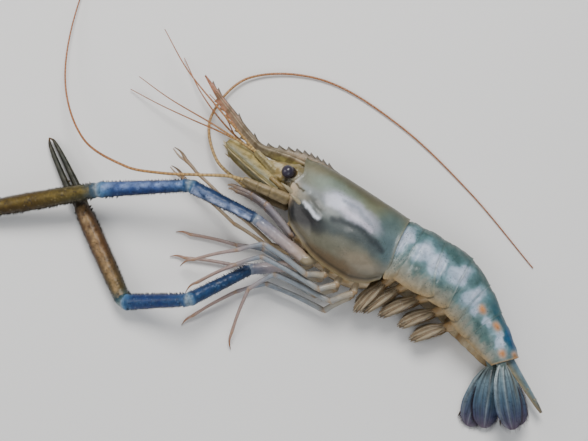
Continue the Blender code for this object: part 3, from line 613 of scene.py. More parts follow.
MARBLING = Effect("shell marbling", (("Vector", "Vector", 0), ("Colour", "Color", 0), ("Cloud size", "Float",
    200), ("Swing", "Float", 0.3)), (("Colour", "Color"), ("Cloud", "Float")), wire_marbling)
PIGMENT = Effect("pigment dots", (("Vector", "Vector", 0), ("Dot pitch", "Float", 900), ("Dot size", "Float",
    0.3), ("Gathering", "Float", 120)), (("Dots", "Float"),), wire_dots)
GRAIN = Effect("skin grain", (("Vector", "Vector", 0), ("Pit pitch", "Float", 1200), ("Pit depth", "Float",
    0.5), ("Wave pitch", "Float", 250)), (("Height", "Float"),), wire_grain)


@dataclass(frozen=True)
class ShellFinish:
    """A finish for shell and skin. Sizes are in millimetres, shares from 0 to 1."""

    name: str
    slot: str
    roughness: float = 0.42
    swing: float = 0.22
    cloud: float = 3.0
    dots: Colour = (0.05, 0.06, 0.06)
    dot_share: float = 0.3
    dot_pitch: float = 0.8
    dot_size: float = 0.3
    flecks: Colour = (0.55, 0.55, 0.5)
    fleck_share: float = 0.15
    pit_pitch: float = 0.8
    pit_depth: float = 0.5
    relief: float = 0.10
    coat: float = 0.2
    coat_roughness: float = 0.10
    shine: float = 0.3
    glow: float = 0.0  # light that passes under the surface

    def material(self) -> bpy.types.Material:
        """Build the finish's material, or find it where it is built already.

        Returns:
            The material.
        """
        made = bpy.data.materials.get(self.name)
        if made:
            return made
        made = bpy.data.materials.new(self.name)
        made.use_nodes = True
        tree = made.node_tree
        where = tree.nodes.new("ShaderNodeTexCoord").outputs["Object"]
        tint = wired(tree, "Attribute", {}, attribute_name="tint").outputs["Color"]
        clouds = MARBLING.place(tree, {"Vector": where, "Colour": tint, "Cloud size": 1 / (self.cloud * MM),
            "Swing": self.swing})
        colour = clouds["Colour"]
        for label, pigment, share, pitch, size in (("dark dots", self.dots, self.dot_share, self.dot_pitch,
                self.dot_size), ("pale flecks", self.flecks, self.fleck_share, self.dot_pitch * 1.7,
                self.dot_size * 0.8)):
            dots = PIGMENT.place(tree, {"Vector": where, "Dot pitch": 1 / (pitch * MM), "Dot size": size,
                "Gathering": 1 / (self.cloud * 1.6 * MM)}, label)["Dots"]
            colour = wired(tree, "Mix", {"Factor": maths(tree, "MULTIPLY", dots, share), "A": colour,
                "B": (*pigment, 1)}, data_type="RGBA").outputs["Result"]
        grain = GRAIN.place(tree, {"Vector": where, "Pit pitch": 1 / (self.pit_pitch * MM),
            "Pit depth": self.pit_depth, "Wave pitch": 1 / (self.cloud * 0.6 * MM)})
        bump = wired(tree, "Bump", {"Strength": 0.6, "Distance": self.relief * MM, "Height": grain["Height"]})
        shader = tree.nodes["Principled BSDF"]
        rough = maths(tree, "MULTIPLY_ADD", clouds["Cloud"], 0.25, self.roughness - 0.12)
        for label, socket in (("Base Color", colour), ("Roughness", rough),
                ("Normal", bump.outputs["Normal"])):
            tree.links.new(socket, shader.inputs[label])
        for label, value in (("Coat Weight", self.coat), ("Coat Roughness", self.coat_roughness),
                ("Specular IOR Level", self.shine), ("Subsurface Weight", self.glow), ("Subsurface Radius",
                (1, 0.75, 0.6)), ("Subsurface Scale", 1.5 * MM)):
            shader.inputs[label].default_value = value
        return made


SHELL = ShellFinish("wet grey shell", "shell_grey", roughness=0.4, cloud=8, dots=(0.03, 0.04, 0.035),
    dot_share=0.35, dot_pitch=0.9, fleck_share=0.03, relief=0.06, coat=0.22, coat_roughness=0.14, shine=0.2,
    glow=0.08)
RINGED = ShellFinish("wet teal shell", "shell_teal", roughness=0.38, swing=0.34, cloud=4, dots=(0.01, 0.035,
    0.045), dot_share=0.45, dot_pitch=1, fleck_share=0.05, coat=0.22, coat_roughness=0.14, shine=0.2,
    glow=0.08)
HEAD = ShellFinish("olive horn", "shell_olive", swing=0.34, dots=(0.07, 0.05, 0.02), dot_share=0.6,
    fleck_share=0.05, coat=0.12, shine=0.15, glow=0.08)
FLESH = ShellFinish("cream underside", "belly_cream", dots=(0.3, 0.16, 0.06), relief=0.12, shine=0.2,
    glow=0.2)
LEG = ShellFinish("pale leg", "leg_pale", roughness=0.36, swing=0.2, cloud=3.2, dots=(0.2, 0.16, 0.14),
    dot_pitch=0.7, fleck_share=0.1, relief=0.05, coat=0.3, shine=0.25, glow=0.15)
ARM = ShellFinish("deep blue arm", "arm_blue", swing=0.45, cloud=2.6, dots=(0.005, 0.01, 0.04),
    dot_share=0.65, dot_pitch=0.9, flecks=(0.16, 0.26, 0.42), fleck_share=0.3, pit_pitch=0.9, pit_depth=1.2,
    relief=0.2, coat=0.15, coat_roughness=0.2, shine=0.22)
CLAW = ShellFinish("olive claw", "claw_olive", roughness=0.45, swing=0.42, dots=(0.03, 0.02, 0.01),
    dot_share=0.75, dot_pitch=1.1, dot_size=0.36, flecks=(0.42, 0.34, 0.18), pit_pitch=0.9, pit_depth=1.4,
    relief=0.25, coat=0.1, coat_roughness=0.2, shine=0.2)
FAN = ShellFinish("navy tail fan", "fan_navy", roughness=0.3, swing=0.35, cloud=3.5, dots=(0.01, 0.015, 0.03),
    dot_share=0.5, dot_pitch=0.7, flecks=(0.12, 0.15, 0.18), fleck_share=0.3, coat=0.4)
EYE = ShellFinish("dark eye", "eye_black", roughness=0.3, swing=0.25, cloud=2, dots=(0.01, 0.008, 0.02),
    dot_pitch=0.35, fleck_share=0, pit_pitch=0.22, pit_depth=0.8, relief=0.02, coat=0.35, coat_roughness=0.12,
    shine=0.4)
FEELER = ShellFinish("tan feeler", "feeler_tan", swing=0.25, cloud=4, dots=(0.2, 0.07, 0.02), dot_share=0.4,
    relief=0.05)
BRISTLE = ShellFinish("fine bristle", "", roughness=0.55, swing=0.3, dot_share=0.2, dot_pitch=1, relief=0.01,
    coat=0)


def place_piece(name: str, bm: bmesh.types.BMesh, look: ShellFinish, nodes: Sequence[str],
        sharp: float = 50) -> bpy.types.Object:
    """Make a finished piece of a mesh in millimetres, and hang it on the frame.

    Args:
        name: of the piece.
        bm: its mesh, which is used up.
        look: its finish.
        nodes: the frame's nodes that it stands for.
        sharp: angle in degrees past which an edge shows.

    Returns:
        The object.
    """
    bmesh.ops.recalc_face_normals(bm, faces=bm.faces)
    for vert in bm.verts:
        vert.co = [min(max(value, low + 0.01), high - 0.01) for value, low, high in zip(vert.co, LOWEST,
            HIGHEST)]
    bmesh.ops.scale(bm, vec=(MM, MM, MM), verts=bm.verts)
    mesh = bpy.data.meshes.new(name)
    bm.to_mesh(mesh)
    bm.free()
    mesh.materials.append(look.material())
    mesh.shade_smooth()
    mesh.set_sharp_from_angle(angle=math.radians(sharp))
    obj = bpy.data.objects.new(name, mesh)
    bpy.context.scene.collection.objects.link(obj)
    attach(obj, "root")
    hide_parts(*nodes)
    LOG.info("%s: %d faces", name, len(mesh.polygons))
    return obj


def skin_piece(name: str, rows: Array, tint: Array, look: ShellFinish, nodes: Sequence[str],
        sharp: float = 50) -> None:
    """Make a piece of one closed skin.

    Args:
        name: of the piece.
        rows: the skin's points.
        tint: a colour for each.
        look: its finish.
        nodes: the frame's nodes that it stands for.
        sharp: angle in degrees past which an edge shows.
    """
    bm = new_mesh()
    weave(bm, rows, tint)
    place_piece(name, bm, look, nodes, sharp)


@dataclass
class Bristles:
    """Fine hairs gathered for one piece, each with its own small patch on the OFBake map."""

    hairs: list[tuple[Array, Array, float, float, Colour]] = field(default_factory=list)

    def add(self, root: Array, way: Array, length: float, radius: float, tint: Colour) -> None:
        """Note one hair: its root, direction, length, radius and colour."""
        self.hairs.append((np.asarray(root, float), unit(np.asarray(way, float)), length, radius, tint))

    def build(self, name: str, slot: str) -> bpy.types.Object:
        """Make one piece of all the hairs.

        Args:
            name: of the piece.
            slot: the record's material slot; not used.

        Returns:
            The object.
        """
        bm = new_mesh()
        patch = bm.loops.layers.uv.new("OFBake")
        side = math.ceil(math.sqrt(len(self.hairs)))
        for index, (root, way, length, radius, tint) in enumerate(self.hairs):
            corner = ((index % side + 0.25) / side, (index // side + 0.25) / side)
            for number, vert in enumerate(spine(bm, root, way, length, radius, tint, 3)):
                lift = 0.003 if (vert.co - Vector(root)).length > length / 2 else 0.0
                for loop in vert.link_loops:
                    loop[patch].uv = (corner[0] + 0.0015 * (number // 2 % 3), corner[1] + lift)
        return place_piece(name, bm, BRISTLE, ())


# The prawn's pieces.

@dataclass
class Carapace:
    """The shield over head and thorax, with its grooves, rims and spines, and the thorax under it."""

    half_width: float = 17.5
    top: Table = ((0, 20.8), (0.15, 22.9), (0.4, 23.9), (0.8, 24.1), (1, 23.4))
    edge: Table = ((0, -8), (0.1, -14.3), (0.27, -18.9), (0.42, -22), (0.58, -23), (0.74, -22.6),
            (0.9, -18.6), (1, -12.6))
    width: Table = ((0, 0.56), (0.15, 0.78), (0.35, 0.96), (0.6, 1), (0.8, 0.97), (1, 0.86))
    top_x: tuple[float, float] = (-34.5, 28.3)
    edge_x: tuple[float, float] = (-29.5, 33.6)
    front_sweep: Table = ((0, 0), (0.12, 0.6), (0.3, 2.4), (0.46, 0.8), (0.6, -0.6), (0.8, 0.4), (1, 3.2))
    rear_sweep: Table = ((0, 0), (0.4, -0.6), (0.75, 0.4), (1, -1.2))
    arc: float = math.radians(140)
    stations: int = 150
    columns: int = 84
    spines: tuple[tuple[float, float, float, float], ...] = ((-33.5, 0.5, 9.9, 3.6), (-26.5, -2.5, 12.6, 3.2))
    grooves: tuple[tuple[Spot | Streak, float], ...] = (
        (Streak(((-21, -2.6), (-16.5, -4.2), (-10, -6.4)), 1.6, 0.9), -0.3),
        (Streak(((-19.5, -1.2), (-15.5, -2.8), (-10, -4.6)), 1.3, 0.9), 0.32),
        (Streak(((-20, 4.4), (-16, 4.2), (-12.5, 2.4)), 1.6, 0.9), -0.25),
        (Streak(((-2, -1), (6, 0.8), (14, 0.8), (22, -0.6), (29, -4)), 3, 0.95), -0.15),
        (Streak(((-31, -0.6), (-24, -2.2), (-17, -5)), 0.9, 0.9), 0.18),
        (Spot(4, 9, 14, 6, -8), 0.5),
        (Spot(10, -13, 15, 5, 4), 0.4),
    )
    marks: tuple[Mark, ...] = (
        (Spot(4, 24.5, 40, 6.2, 0, 0.5), (0.145, 0.135, 0.08), 0.9),
        (Spot(-26, 14, 9, 6, 4, 0.6), (0.3, 0.27, 0.2), 0.7),
        (Spot(-13, 13, 14, 5, 4, 0.6), (0.3, 0.36, 0.32), 0.7),
        (Spot(23, 9, 8, 12, 6, 0.6), (0.13, 0.195, 0.205), 0.8),
        # Pale lavender patches on the mid flank: partly the shell's own paler colour, partly painted
        # highlight; the brighter second patch is painted highlight.
        (Spot(2.5, 8.2, 16, 5.4, -5, 0.4), (0.5, 0.51, 0.58), 0.9),
        (Spot(-7.5, 7.8, 6.5, 3.8, 10, 0.5), (0.63, 0.64, 0.73), 0.9),
        (Streak(((-4, 10), (4, 10.4), (13, 7.4)), 1, 0.9), (0.32, 0.35, 0.4), 0.6),
        # A pale streak and a pale spot: painted highlight.
        (Streak(((-3, 6), (5, 6.2), (15, 4.4)), 1, 0.9), (0.64, 0.6, 0.7), 0.6),
        (Spot(6, 4.4, 7, 1.8, -4, 0.7), (0.62, 0.6, 0.68), 0.6),
        (Spot(27, 0.5, 4.5, 8, 8, 0.6), (0.14, 0.2, 0.215), 0.8),
        (Spot(8, -11, 21, 7.5, 2, 0.5), (0.205, 0.205, 0.165), 0.8),
        (Spot(19, -12, 11, 4.2, 12, 0.6), (0.34, 0.29, 0.225), 0.65),
        (Spot(8, -19.4, 18, 2.8, 3, 0.6), (0.2, 0.145, 0.09), 0.7),
        (Streak(((-26, -6.8), (-20, -7.6), (-12, -8), (-4, -6.2), (4, -3.4), (14, -1.2),
                 (22, -2.4)), 3.2, 0.85), (0.1, 0.125, 0.13), 0.8),
        (Streak(((-4, -1.4), (1, 0.4), (9, 1.9), (15, 1.6), (20, 0.6), (25, -1.2)), 1.4, 0.95),
         (0.06, 0.075, 0.085), 0.85),
        (Spot(-18, -7.8, 11.5, 4.7, -3, 0.6), (0.038, 0.036, 0.04), 0.95),
        (Streak(((-20, 1.8), (-16.5, 1.6), (-12, -0.4)), 1.8, 0.85), (0.13, 0.13, 0.115), 0.75),
        # A near-white streak along the raised ridge: painted highlight.
        (Streak(((-21, -1.8), (-16.5, -2.9), (-10.2, -4.9)), 0.95, 0.9), (0.8, 0.82, 0.88), 0.95),
        (Spot(-31.5, -1.5, 5, 6.5, 0, 0.7), (0.62, 0.48, 0.33), 0.85),
        (Spot(-33, -4.5, 3, 2.6, 0, 0.7), (0.66, 0.42, 0.2), 0.7),
        (Spot(-25, 0.5, 5, 2.6, -10, 0.7), (0.4, 0.36, 0.28), 0.6),
        *EYE_LINES_AND_SHADOW,
    )

    def flank(self, t: Array, angle: Array) -> Array:
        """Points of the outer surface.

        Args:
            t: places along, from 0 at the front margin to 1 at the rear one.
            angle: round from the back ridge, minus on the lower side, in radians.

        Returns:
            Rows of points.
        """
        t, angle = t[:, None], angle[None, :]
        share = (1 - np.cos(angle)) / (1 - math.cos(self.arc))
        top_x = self.top_x[0] + (self.top_x[1] - self.top_x[0]) * t
        edge_x = self.edge_x[0] + (self.edge_x[1] - self.edge_x[0]) * t
        top_y, edge_y = read_table(self.top, t), read_table(self.edge, t)
        x = top_x + (edge_x - top_x) * share
        x = x + read_table(self.front_sweep, share) * (1 - t) ** 3
        x = x + read_table(self.rear_sweep, share) * t ** 6
        y = top_y + (edge_y - top_y) * share
        wide = self.half_width * read_table(self.width, t)
        z = MID + np.sign(angle) * wide * np.sin(np.abs(angle)) ** 0.9
        return np.stack((x, y, z), axis=-1)

    def underside(self, t: Array, pairs: Sequence[tuple[float, float]], sign: int) -> Array:
        """Points inside the lower edge.

        Args:
            t: places along, from 0 to 1.
            pairs: (share of the half width, rise over the edge) of each column of points.
            sign: +1 for the left side, -1 for the right.

        Returns:
            Rows of points.
        """
        edge_x = self.edge_x[0] + (self.edge_x[1] - self.edge_x[0]) * t
        edge_x = edge_x + read_table(self.front_sweep, 1) * (1 - t) ** 3
        edge_x = edge_x + read_table(self.rear_sweep, 1) * t ** 6
        wide = self.half_width * read_table(self.width, t)
        made = [np.stack((edge_x, read_table(self.edge, t) + lift, MID + sign * wide * share), axis=-1)
            for share, lift in pairs]
        return np.stack(made, axis=1)

    def build(self) -> None:
        """Make the shield and the thorax."""
        t = (1 - np.cos(np.linspace(0, math.pi, self.stations))) / 2 * 0.35
        t = t + np.linspace(0, 1, self.stations) * 0.65
        angle = np.linspace(self.arc, -self.arc, 2 * self.columns + 1)
        outer = self.flank(t, angle)
        pairs = ((0.645, -0.25), (0.6, -0.1), (0.575, 0.5), (0.53, 1.8), (0.45, 3.6), (0.4, 4.5), (0.2, 4.8))
        right = self.underside(t, pairs, -1)
        left = self.underside(t, tuple(reversed(pairs)), 1)
        rows = np.concatenate((outer, right, left), axis=1)

        below = 2 * len(pairs)
        share = np.concatenate(((1 - np.cos(angle)) / (1 - math.cos(self.arc)), np.ones(below)))
        relief = sum(height * shape.mask(rows) for shape, height in self.grooves)
        relief = relief + 0.16 * ripple(rows, 18, 5, 2) + 0.02 * ripple(rows, 5, 8)
        rim = bell(1 - share, 0.022)[None, :] + bell(t, 0.018)[:, None]
        rim = rim + 0.8 * bell(1 - t, 0.02)[:, None]
        relief = relief + 0.42 * np.clip(rim, 0, 1) - 0.25 * bell(1 - share - 0.06, 0.022)[None, :]
        under = np.concatenate((np.ones(len(angle)), np.zeros(below)))
        rows = push_out(rows, relief * under)

        tint = ramp(rows[..., 1], ((-24, (0.22, 0.17, 0.1)), (-12, (0.22, 0.2, 0.155)),
            (-4, (0.22, 0.24, 0.23)), (6, (0.34, 0.36, 0.36)), (14, (0.27, 0.29, 0.22)),
            (22, (0.16, 0.16, 0.09))))
        tint = paint(tint, rows, self.marks, 0.55, 21)
        tint = blend(tint, (0.06, 0.05, 0.03), 0.7 * bell(1 - share - 0.045, 0.014)[None, :] + 0 * relief)
        tint = blend(tint, (0.31, 0.26, 0.15), 0.8 * bell(1 - share, 0.014)[None, :] + 0 * relief)
        tint = blend(tint, (0.3, 0.29, 0.22), 0.5 * bell(1 - t, 0.012)[:, None] + 0 * relief)
        tint = blend(tint, (0.48, 0.38, 0.24), np.broadcast_to(1 - under, relief.shape))

        middle = rows.mean(axis=1, keepdims=True)
        front = [middle[0] + (rows[0] - middle[0]) * size + np.array((shift, 0, 0))
            for shift, size in ((4.5, 0), (4, 0.8), (2.5, 0.91), (0.8, 0.955), (0.1, 0.985))]
        rear = [middle[-1] + (rows[-1] - middle[-1]) * size - np.array((shift, 0, 0))
            for shift, size in ((0.1, 0.985), (1, 0.95), (2, 0))]
        rows = np.concatenate((np.array(front, float), rows, np.array(rear, float)))
        inside = np.broadcast_to(np.array((0.3, 0.2, 0.1)), (1, *tint.shape[1:]))
        tint = np.concatenate((np.repeat(inside, 4, axis=0), tint[:1], tint, np.repeat(inside, 3, axis=0)))
        bm = new_mesh()
        weave(bm, rows, tint)
        for side in Side:
            for x, y, z, length in self.spines:
                path = smooth_path(((x + 4, y - 0.5, MID + side.sign * (z - 0.5)),
                    (x, y, MID + side.sign * (z + 0.7)), (x - length, y + 0.4, MID + side.sign * (z + 0.9))),
                    14)
                radius = spread(((0, 1.4), (0.5, 0.95), (0.8, 0.5), (1, 0.08)), 14)
                weave(bm, round_rows(path, radius, 12), (0.42, 0.37, 0.27))
        place_piece("carapace_shell", bm, SHELL, ("carapace",))
        self.thorax()

    def thorax(self) -> None:
        """Make the ribbed body between the legs."""
        t = np.linspace(0.1, 0.93, 120)
        edge_x = self.edge_x[0] + (self.edge_x[1] - self.edge_x[0]) * t
        wide = self.half_width * read_table(self.width, t) * 0.40 - 0.5
        angle = around(40)
        rib = 0.35 * np.cos(edge_x * 2 * math.pi / 7.6)
        z = MID + np.sign(np.sin(angle)) * np.abs(np.sin(angle)) ** 0.6 * wide[:, None]
        y = read_table(self.edge,
            t)[:, None] + 1.6 - np.sign(np.cos(angle)) * np.abs(np.cos(angle)) ** 0.6 * (2.9 + rib[:, None])
        rows = np.stack((edge_x[:, None] + 0 * y, y, z), axis=-1)
        rows = closed_off(rows)
        tint = ramp(ripple(rows, 6, 3), ((-0.6, (0.5, 0.38, 0.22)), (0.6, (0.62, 0.52, 0.38))))
        skin_piece("thorax_underside", rows, tint, FLESH, ("thorax",))


@dataclass
class Rostrum:
    """The saw-edged blade over the eyes."""

    hairs: Bristles
    stations: Table = ((14, 24, 19.5, 0.7), (18, 24.2, 18.5, 0.9), (26, 24.2, 17.5, 1.5), (34, 23.4, 14.2,
            2.3), (42, 20.8, 12.2, 2.5), (50, 17.4, 10.4, 2.2), (58, 14.6, 9.6, 1.9), (68, 17, 11.8, 1.6),
            (80, 21.2, 16.4, 1.3), (92, 25, 21.4, 1), (105, 29.2, 28.2, 0.3))
    upper_teeth: tuple[float, ...] = (-21.5, -25.2, -28.8, -32.4, -36, -39.8, -44, -48.6, -54, -63, -76, -93,
            -97.5)
    lower_teeth: tuple[float, ...] = (-59, -63.5, -68, -72.5, -77, -81.5, -86, -90.5)
    tooth_length: float = 4.2
    tooth_height: float = 1.7
    ridge: Table = ((14, 0.25), (28, 0.28), (36, 0.42), (44, 0.55), (55, 0.66), (70, 0.55), (105, 0.4))
    count: int = 460

    def saw(self, x: Array, teeth: Sequence[float]) -> Array:
        """Find the height of a saw edge over its base line.

        Args:
            x: places along the blade.
            teeth: where the teeth point.

        Returns:
            The height at each place.
        """
        height = np.zeros_like(x)
        for place in teeth:
            s = np.clip((place + self.tooth_length * 0.55 - x) / self.tooth_length, 0, 1)
            slope = np.where(s < 0.78, (s / 0.78) ** 1.35, ((1 - s) / 0.22) ** 0.8)
            height = np.maximum(height, self.tooth_height * slope)
        return height

    def build(self) -> None:
        """Make the blade, with hairs between its teeth."""
        x = np.linspace(-14, -105, self.count)
        upper, lower, half = (column(self.stations, k, -x) for k in (1, 2, 3))
        ridge = lower + read_table(self.ridge, -x) * (upper - lower)
        saws = (self.saw(x, self.upper_teeth), self.saw(x, self.lower_teeth))
        profile = ((0, 0.16), (0.12, 0.3), (0.3, 0.42), (0.48, 0.62), (0.57, 0.95), (0.62, 1), (0.67, 0.95),
            (0.78, 0.55), (0.9, 0.32), (1, 0.18))
        downs = np.linspace(0, 1, 26)
        columns = []
        for sign, order in ((1, downs), (-1, downs[::-1])):
            for down in order:
                above = down < 0.62
                y = np.where(above, upper + (ridge - upper) * (down / 0.62),
                    ridge + (lower - ridge) * (down - 0.62) / 0.38)
                crest = saws[0] * max(0, 1 - down / 0.16) - saws[1] * max(0, 1 - (1 - down) / 0.2)
                thinner = 1 - 0.45 * np.clip(np.abs(crest) / self.tooth_height, 0, 1)
                width = half * read_table(profile, down) * thinner
                columns.append(np.stack((x - 0.75 * np.abs(crest), y + crest, MID + sign * width), axis=-1))
        rows = np.stack(columns, axis=1)
        share = np.abs(np.concatenate((downs, downs[::-1])) - 0.62)[None, :] + 0 * rows[..., 0]
        tint = ramp(rows[..., 0], ((-105, (0.48, 0.2, 0.12)), (-90, (0.42, 0.26, 0.18)),
            (-70, (0.34, 0.28, 0.21)), (-50, (0.31, 0.27, 0.205)), (-38, (0.39, 0.31, 0.22)),
            (-14, (0.26, 0.21, 0.14))))
        down = np.concatenate((downs, downs[::-1]))[None, :] + 0 * share
        tint = blend(tint, (0.07, 0.055, 0.035), 0.85 * smoothstep(0.17, 0.04, down))
        tint = blend(tint, (0.52, 0.46, 0.34), 0.85 * bell(down - 0.6, 0.045))
        tint = blend(tint, (0.1, 0.08, 0.05), 0.5 * bell(down - 0.5, 0.05))
        tint = blend(tint, (0.3, 0.27, 0.1), 0.75 * smoothstep(0.66, 0.78, down) * smoothstep(-60, -45,
            rows[..., 0]))
        tint = blend(tint, (0.09, 0.07, 0.035), 0.6 * smoothstep(0.9, 1, down))
        tint = blend(tint, (0.15, 0.11, 0.06), 0.45 * smoothstep(0.1, 0.7, ripple(rows, 9, 44)))
        rows = closed_off(rows)
        tint = np.concatenate((tint[:1], tint, tint[-1:]))
        skin_piece("rostrum_blade", rows, tint, HEAD, ("rostrum",), sharp=40)

        source = np.random.default_rng(12)
        for number, sign, begin, end in ((1, 1, -24, -60), (2, -1, -52, -90)):
            for place in np.arange(begin, end, -0.55):
                base = float(column(self.stations, number, -place))
                way = (-0.85, sign * 0.6, source.uniform(-0.25, 0.25))
                self.hairs.add((place, base - sign * 0.2, MID + source.uniform(-0.15, 0.15)), way,
                    source.uniform(1, 1.8), 0.035, (0.42, 0.36, 0.27))


@dataclass
class HeadParts:
    """Eyes on stalks, antennules, antennae with their scales, and all the whips."""

    hairs: Bristles
    eye_radius: float = 3.4
    eye: Point = (-37.5, 7.6, 27.6)
    stalk: Point = (-31, 11.2, 21)
    antennule: tuple[Point, ...] = ((-31, 4.2, 20.1), (-46, 5.6, 20.3), (-52.5, 7.2, 20.5), (-58, 8.4, 20.7))
    antennule_radii: tuple[float, ...] = (2.5, 2.4, 2, 1.6)
    antenna: tuple[Point, ...] = ((-29.5, -4, 24.3), (-39, -6, 26.2), (-46, -7.4, 26.4), (-54, -8.4, 26))
    antenna_radii: tuple[float, ...] = (3.2, 2.9, 2.5, 1.9)
    long_whips: dict[Side, tuple[Point, ...]] = field(default_factory=lambda: {
        Side.LEFT: ((-54, -8.4, 26), (-61.5, -12, 29.5), (-74, -20.5, 32.6), (-90, -30, 32),
                    (-108, -37, 29), (-138, -36, 19), (-168, -14, 9), (-190, 26, 2.8),
                    (-200, 70, 0.7)),
        Side.RIGHT: ((-54, -8.4, 8.4), (-76, -4, 7), (-92, 14, 4.6), (-88, 44, 2.4),
                     (-54, 66, 1.2), (-6, 68, 0.9), (46, 58, 0.7), (96, 42, 0.5))})
    short_whips: dict[Side, tuple[tuple[Point, ...], ...]] = field(default_factory=lambda: {
        Side.LEFT: (((-58, 8.4, 20.7), (-84, 15, 26), (-112, 24, 25), (-138, 38, 16)),
                    ((-58, 8.4, 20.7), (-84, 7.5, 24), (-112, 7, 20), (-136, 10, 9)),
                    ((-58, 8.4, 20.7), (-72, 12.5, 21.8), (-86, 18, 21.4), (-96, 20.5, 21))),
        Side.RIGHT: (((-58, 8.4, 13.7), (-82, 13.5, 9.5), (-104, 22, 5), (-124, 34, 1.2)),
                     ((-58, 8.4, 13.7), (-76, 9, 12.6), (-100, 6, 9), (-118, 4, 6),
                      (-138, 3, 1.4)),
                     ((-58, 8.4, 13.7), (-72, 10.5, 11.5), (-84, 17, 9.6), (-94, 20, 8.6)))})
    scale_length: float = 37.5
    scale_outline: Table = ((0, -0.05, 0.1), (0.1, -0.12, 0.155), (0.3, -0.175, 0.167), (0.55, -0.19, 0.157),
            (0.8, -0.185, 0.14), (0.93, -0.15, 0.105), (1, -0.06, 0.03))

    def on_side(self, points: Sequence[Point], side: Side) -> Array:
        """Carry points of the left side to the side asked for.

        Args:
            points: of the left side.
            side: that they are wanted for.

        Returns:
            The points there.
        """
        made = np.array(points, float)
        made[:, 2] = MID + side.sign * (made[:, 2] - MID)
        return made

    def build(self) -> None:
        """Make everything that the head carries, on both sides."""
        self.face()
        for side in Side:
            self.eye_and_stalk(side)
            self.stems(side)
            self.scale(side)
            self.whips(side)

    def face(self) -> None:
        """Make the soft front of the head, which the eyes rest on, between the shield and the stems."""
        path = smooth_path(((-27, 7.4, MID), (-34, 7.6, MID), (-40, 6.8, MID), (-50, 6, MID)), 60)
        radius = spread(((0, 9.3), (0.3, 8.9), (0.55, 7.2), (0.8, 5.4), (1, 3.6)), 60)
        rows = round_rows(path, radius, 64, flat=0.98, domes=(0.4, 0.7))
        rows = push_out(rows, 0.35 * ripple(rows, 5, 17) - 0.3 * bell(rows[..., 0] + 38, 0.7))
        tint = ramp(ripple(rows, 6, 18), ((-0.7, (0.34, 0.27, 0.13)), (0, (0.48, 0.4, 0.24)),
            (0.7, (0.58, 0.52, 0.38))))
        tint = blend(tint, (0.32, 0.3, 0.24), 0.8 * smoothstep(-38, -33, rows[..., 0]))
        tint = paint(tint, rows, (*EYE_LINES_AND_SHADOW, (Spot(-36, 13, 8, 1.8), (0.3, 0.25, 0.12), 0.7)), 0.3, 19)
        skin_piece("face_front", rows, tint, FLESH, ())

    def eye_and_stalk(self, side: Side) -> None:
        """Make an eye, a little flattened, and the stalk that cups it.

        Args:
            side: of the head.
        """
        root, centre = self.on_side((self.stalk, self.eye), side)
        way = unit(centre - root)
        aside = unit(np.cross(way, (1, 0.2, 0)))
        over = np.cross(aside, way)
        polar = np.linspace(0, math.pi, 34)
        angle = around(48)
        radial = np.sin(polar)[:, None, None] * (np.cos(angle)[None, :, None] * aside +
            np.sin(angle)[None, :, None] * over)
        axial = np.cos(polar)[:, None, None] * way
        rows = centre + self.eye_radius * (radial + axial * 0.93)
        shade = np.cos(polar)[:, None] + 0 * angle[None, :]
        tint = ramp(shade, ((-1, (0.12, 0.08, 0.07)), (-0.3, (0.07, 0.055, 0.085)),
            (0.3, (0.055, 0.046, 0.075)), (1, (0.085, 0.07, 0.11))))
        skin_piece("eye_ball_" + side.value, rows, tint, EYE, ("eye_" + side.value,))

        path = smooth_path((root, root + (centre - root) * 0.45, root + (centre - root) * 0.82), 26)
        girth = spread(((0, 2.2), (0.35, 1.9), (0.6, 2), (0.8, 2.75), (0.93, 3.05), (1, 2.85)), 26)
        rows = round_rows(path, girth, 26)
        tint = ramp(np.linspace(0, 1, len(rows)), ((0, (0.34, 0.28, 0.15)), (0.55, (0.4, 0.33, 0.18)),
            (0.72, (0.14, 0.1, 0.05)), (0.85, (0.06, 0.045, 0.04)), (1, (0.05, 0.04, 0.05))))
        skin_piece("eye_stalk_" + side.value, rows, np.repeat(tint[:, None], 26, axis=1), HEAD,
            ("eyestalk_" + side.value,))

    def stems(self, side: Side) -> None:
        """Make the three-jointed antennule stalk and the stout antenna base.

        Args:
            side: of the head.
        """
        for label, points, radii, warm in (
                ("antennule", self.antennule, self.antennule_radii, (0.46, 0.4, 0.24)),
                ("antenna", self.antenna, self.antenna_radii, (0.4, 0.33, 0.22))):
            bm = new_mesh()
            joints = self.on_side(points, side)
            for index, (start, end) in enumerate(zip(joints, joints[1:])):
                path = np.linspace(start, end, 24)
                swell = spread(((0, 0.86), (0.12, 1), (0.7, 0.97), (0.9, 1.04), (1, 0.92)), 24)
                radius = np.linspace(radii[index], radii[index + 1], 24) * swell
                rows = round_rows(path, radius, 28, domes=(0.5, 0.7))
                angle = around(28)
                tint = np.broadcast_to(np.array(warm, float), rows.shape)
                tint = blend(tint, (0.14, 0.11, 0.05), 0.6 * bell(np.cos(angle * 2 + 0.6) - 1, 0.35) + 0 *
                    rows[..., 0])
                ends = np.abs(np.linspace(-1, 1, len(rows)))[:, None] + 0 * rows[..., 0]
                tint = blend(tint, (0.22, 0.13, 0.05), 0.6 * smoothstep(0.78, 1, ends))
                weave(bm, rows, tint)
            place_piece(label + "_stem_" + side.value, bm, HEAD, (label + "_" + side.value,))

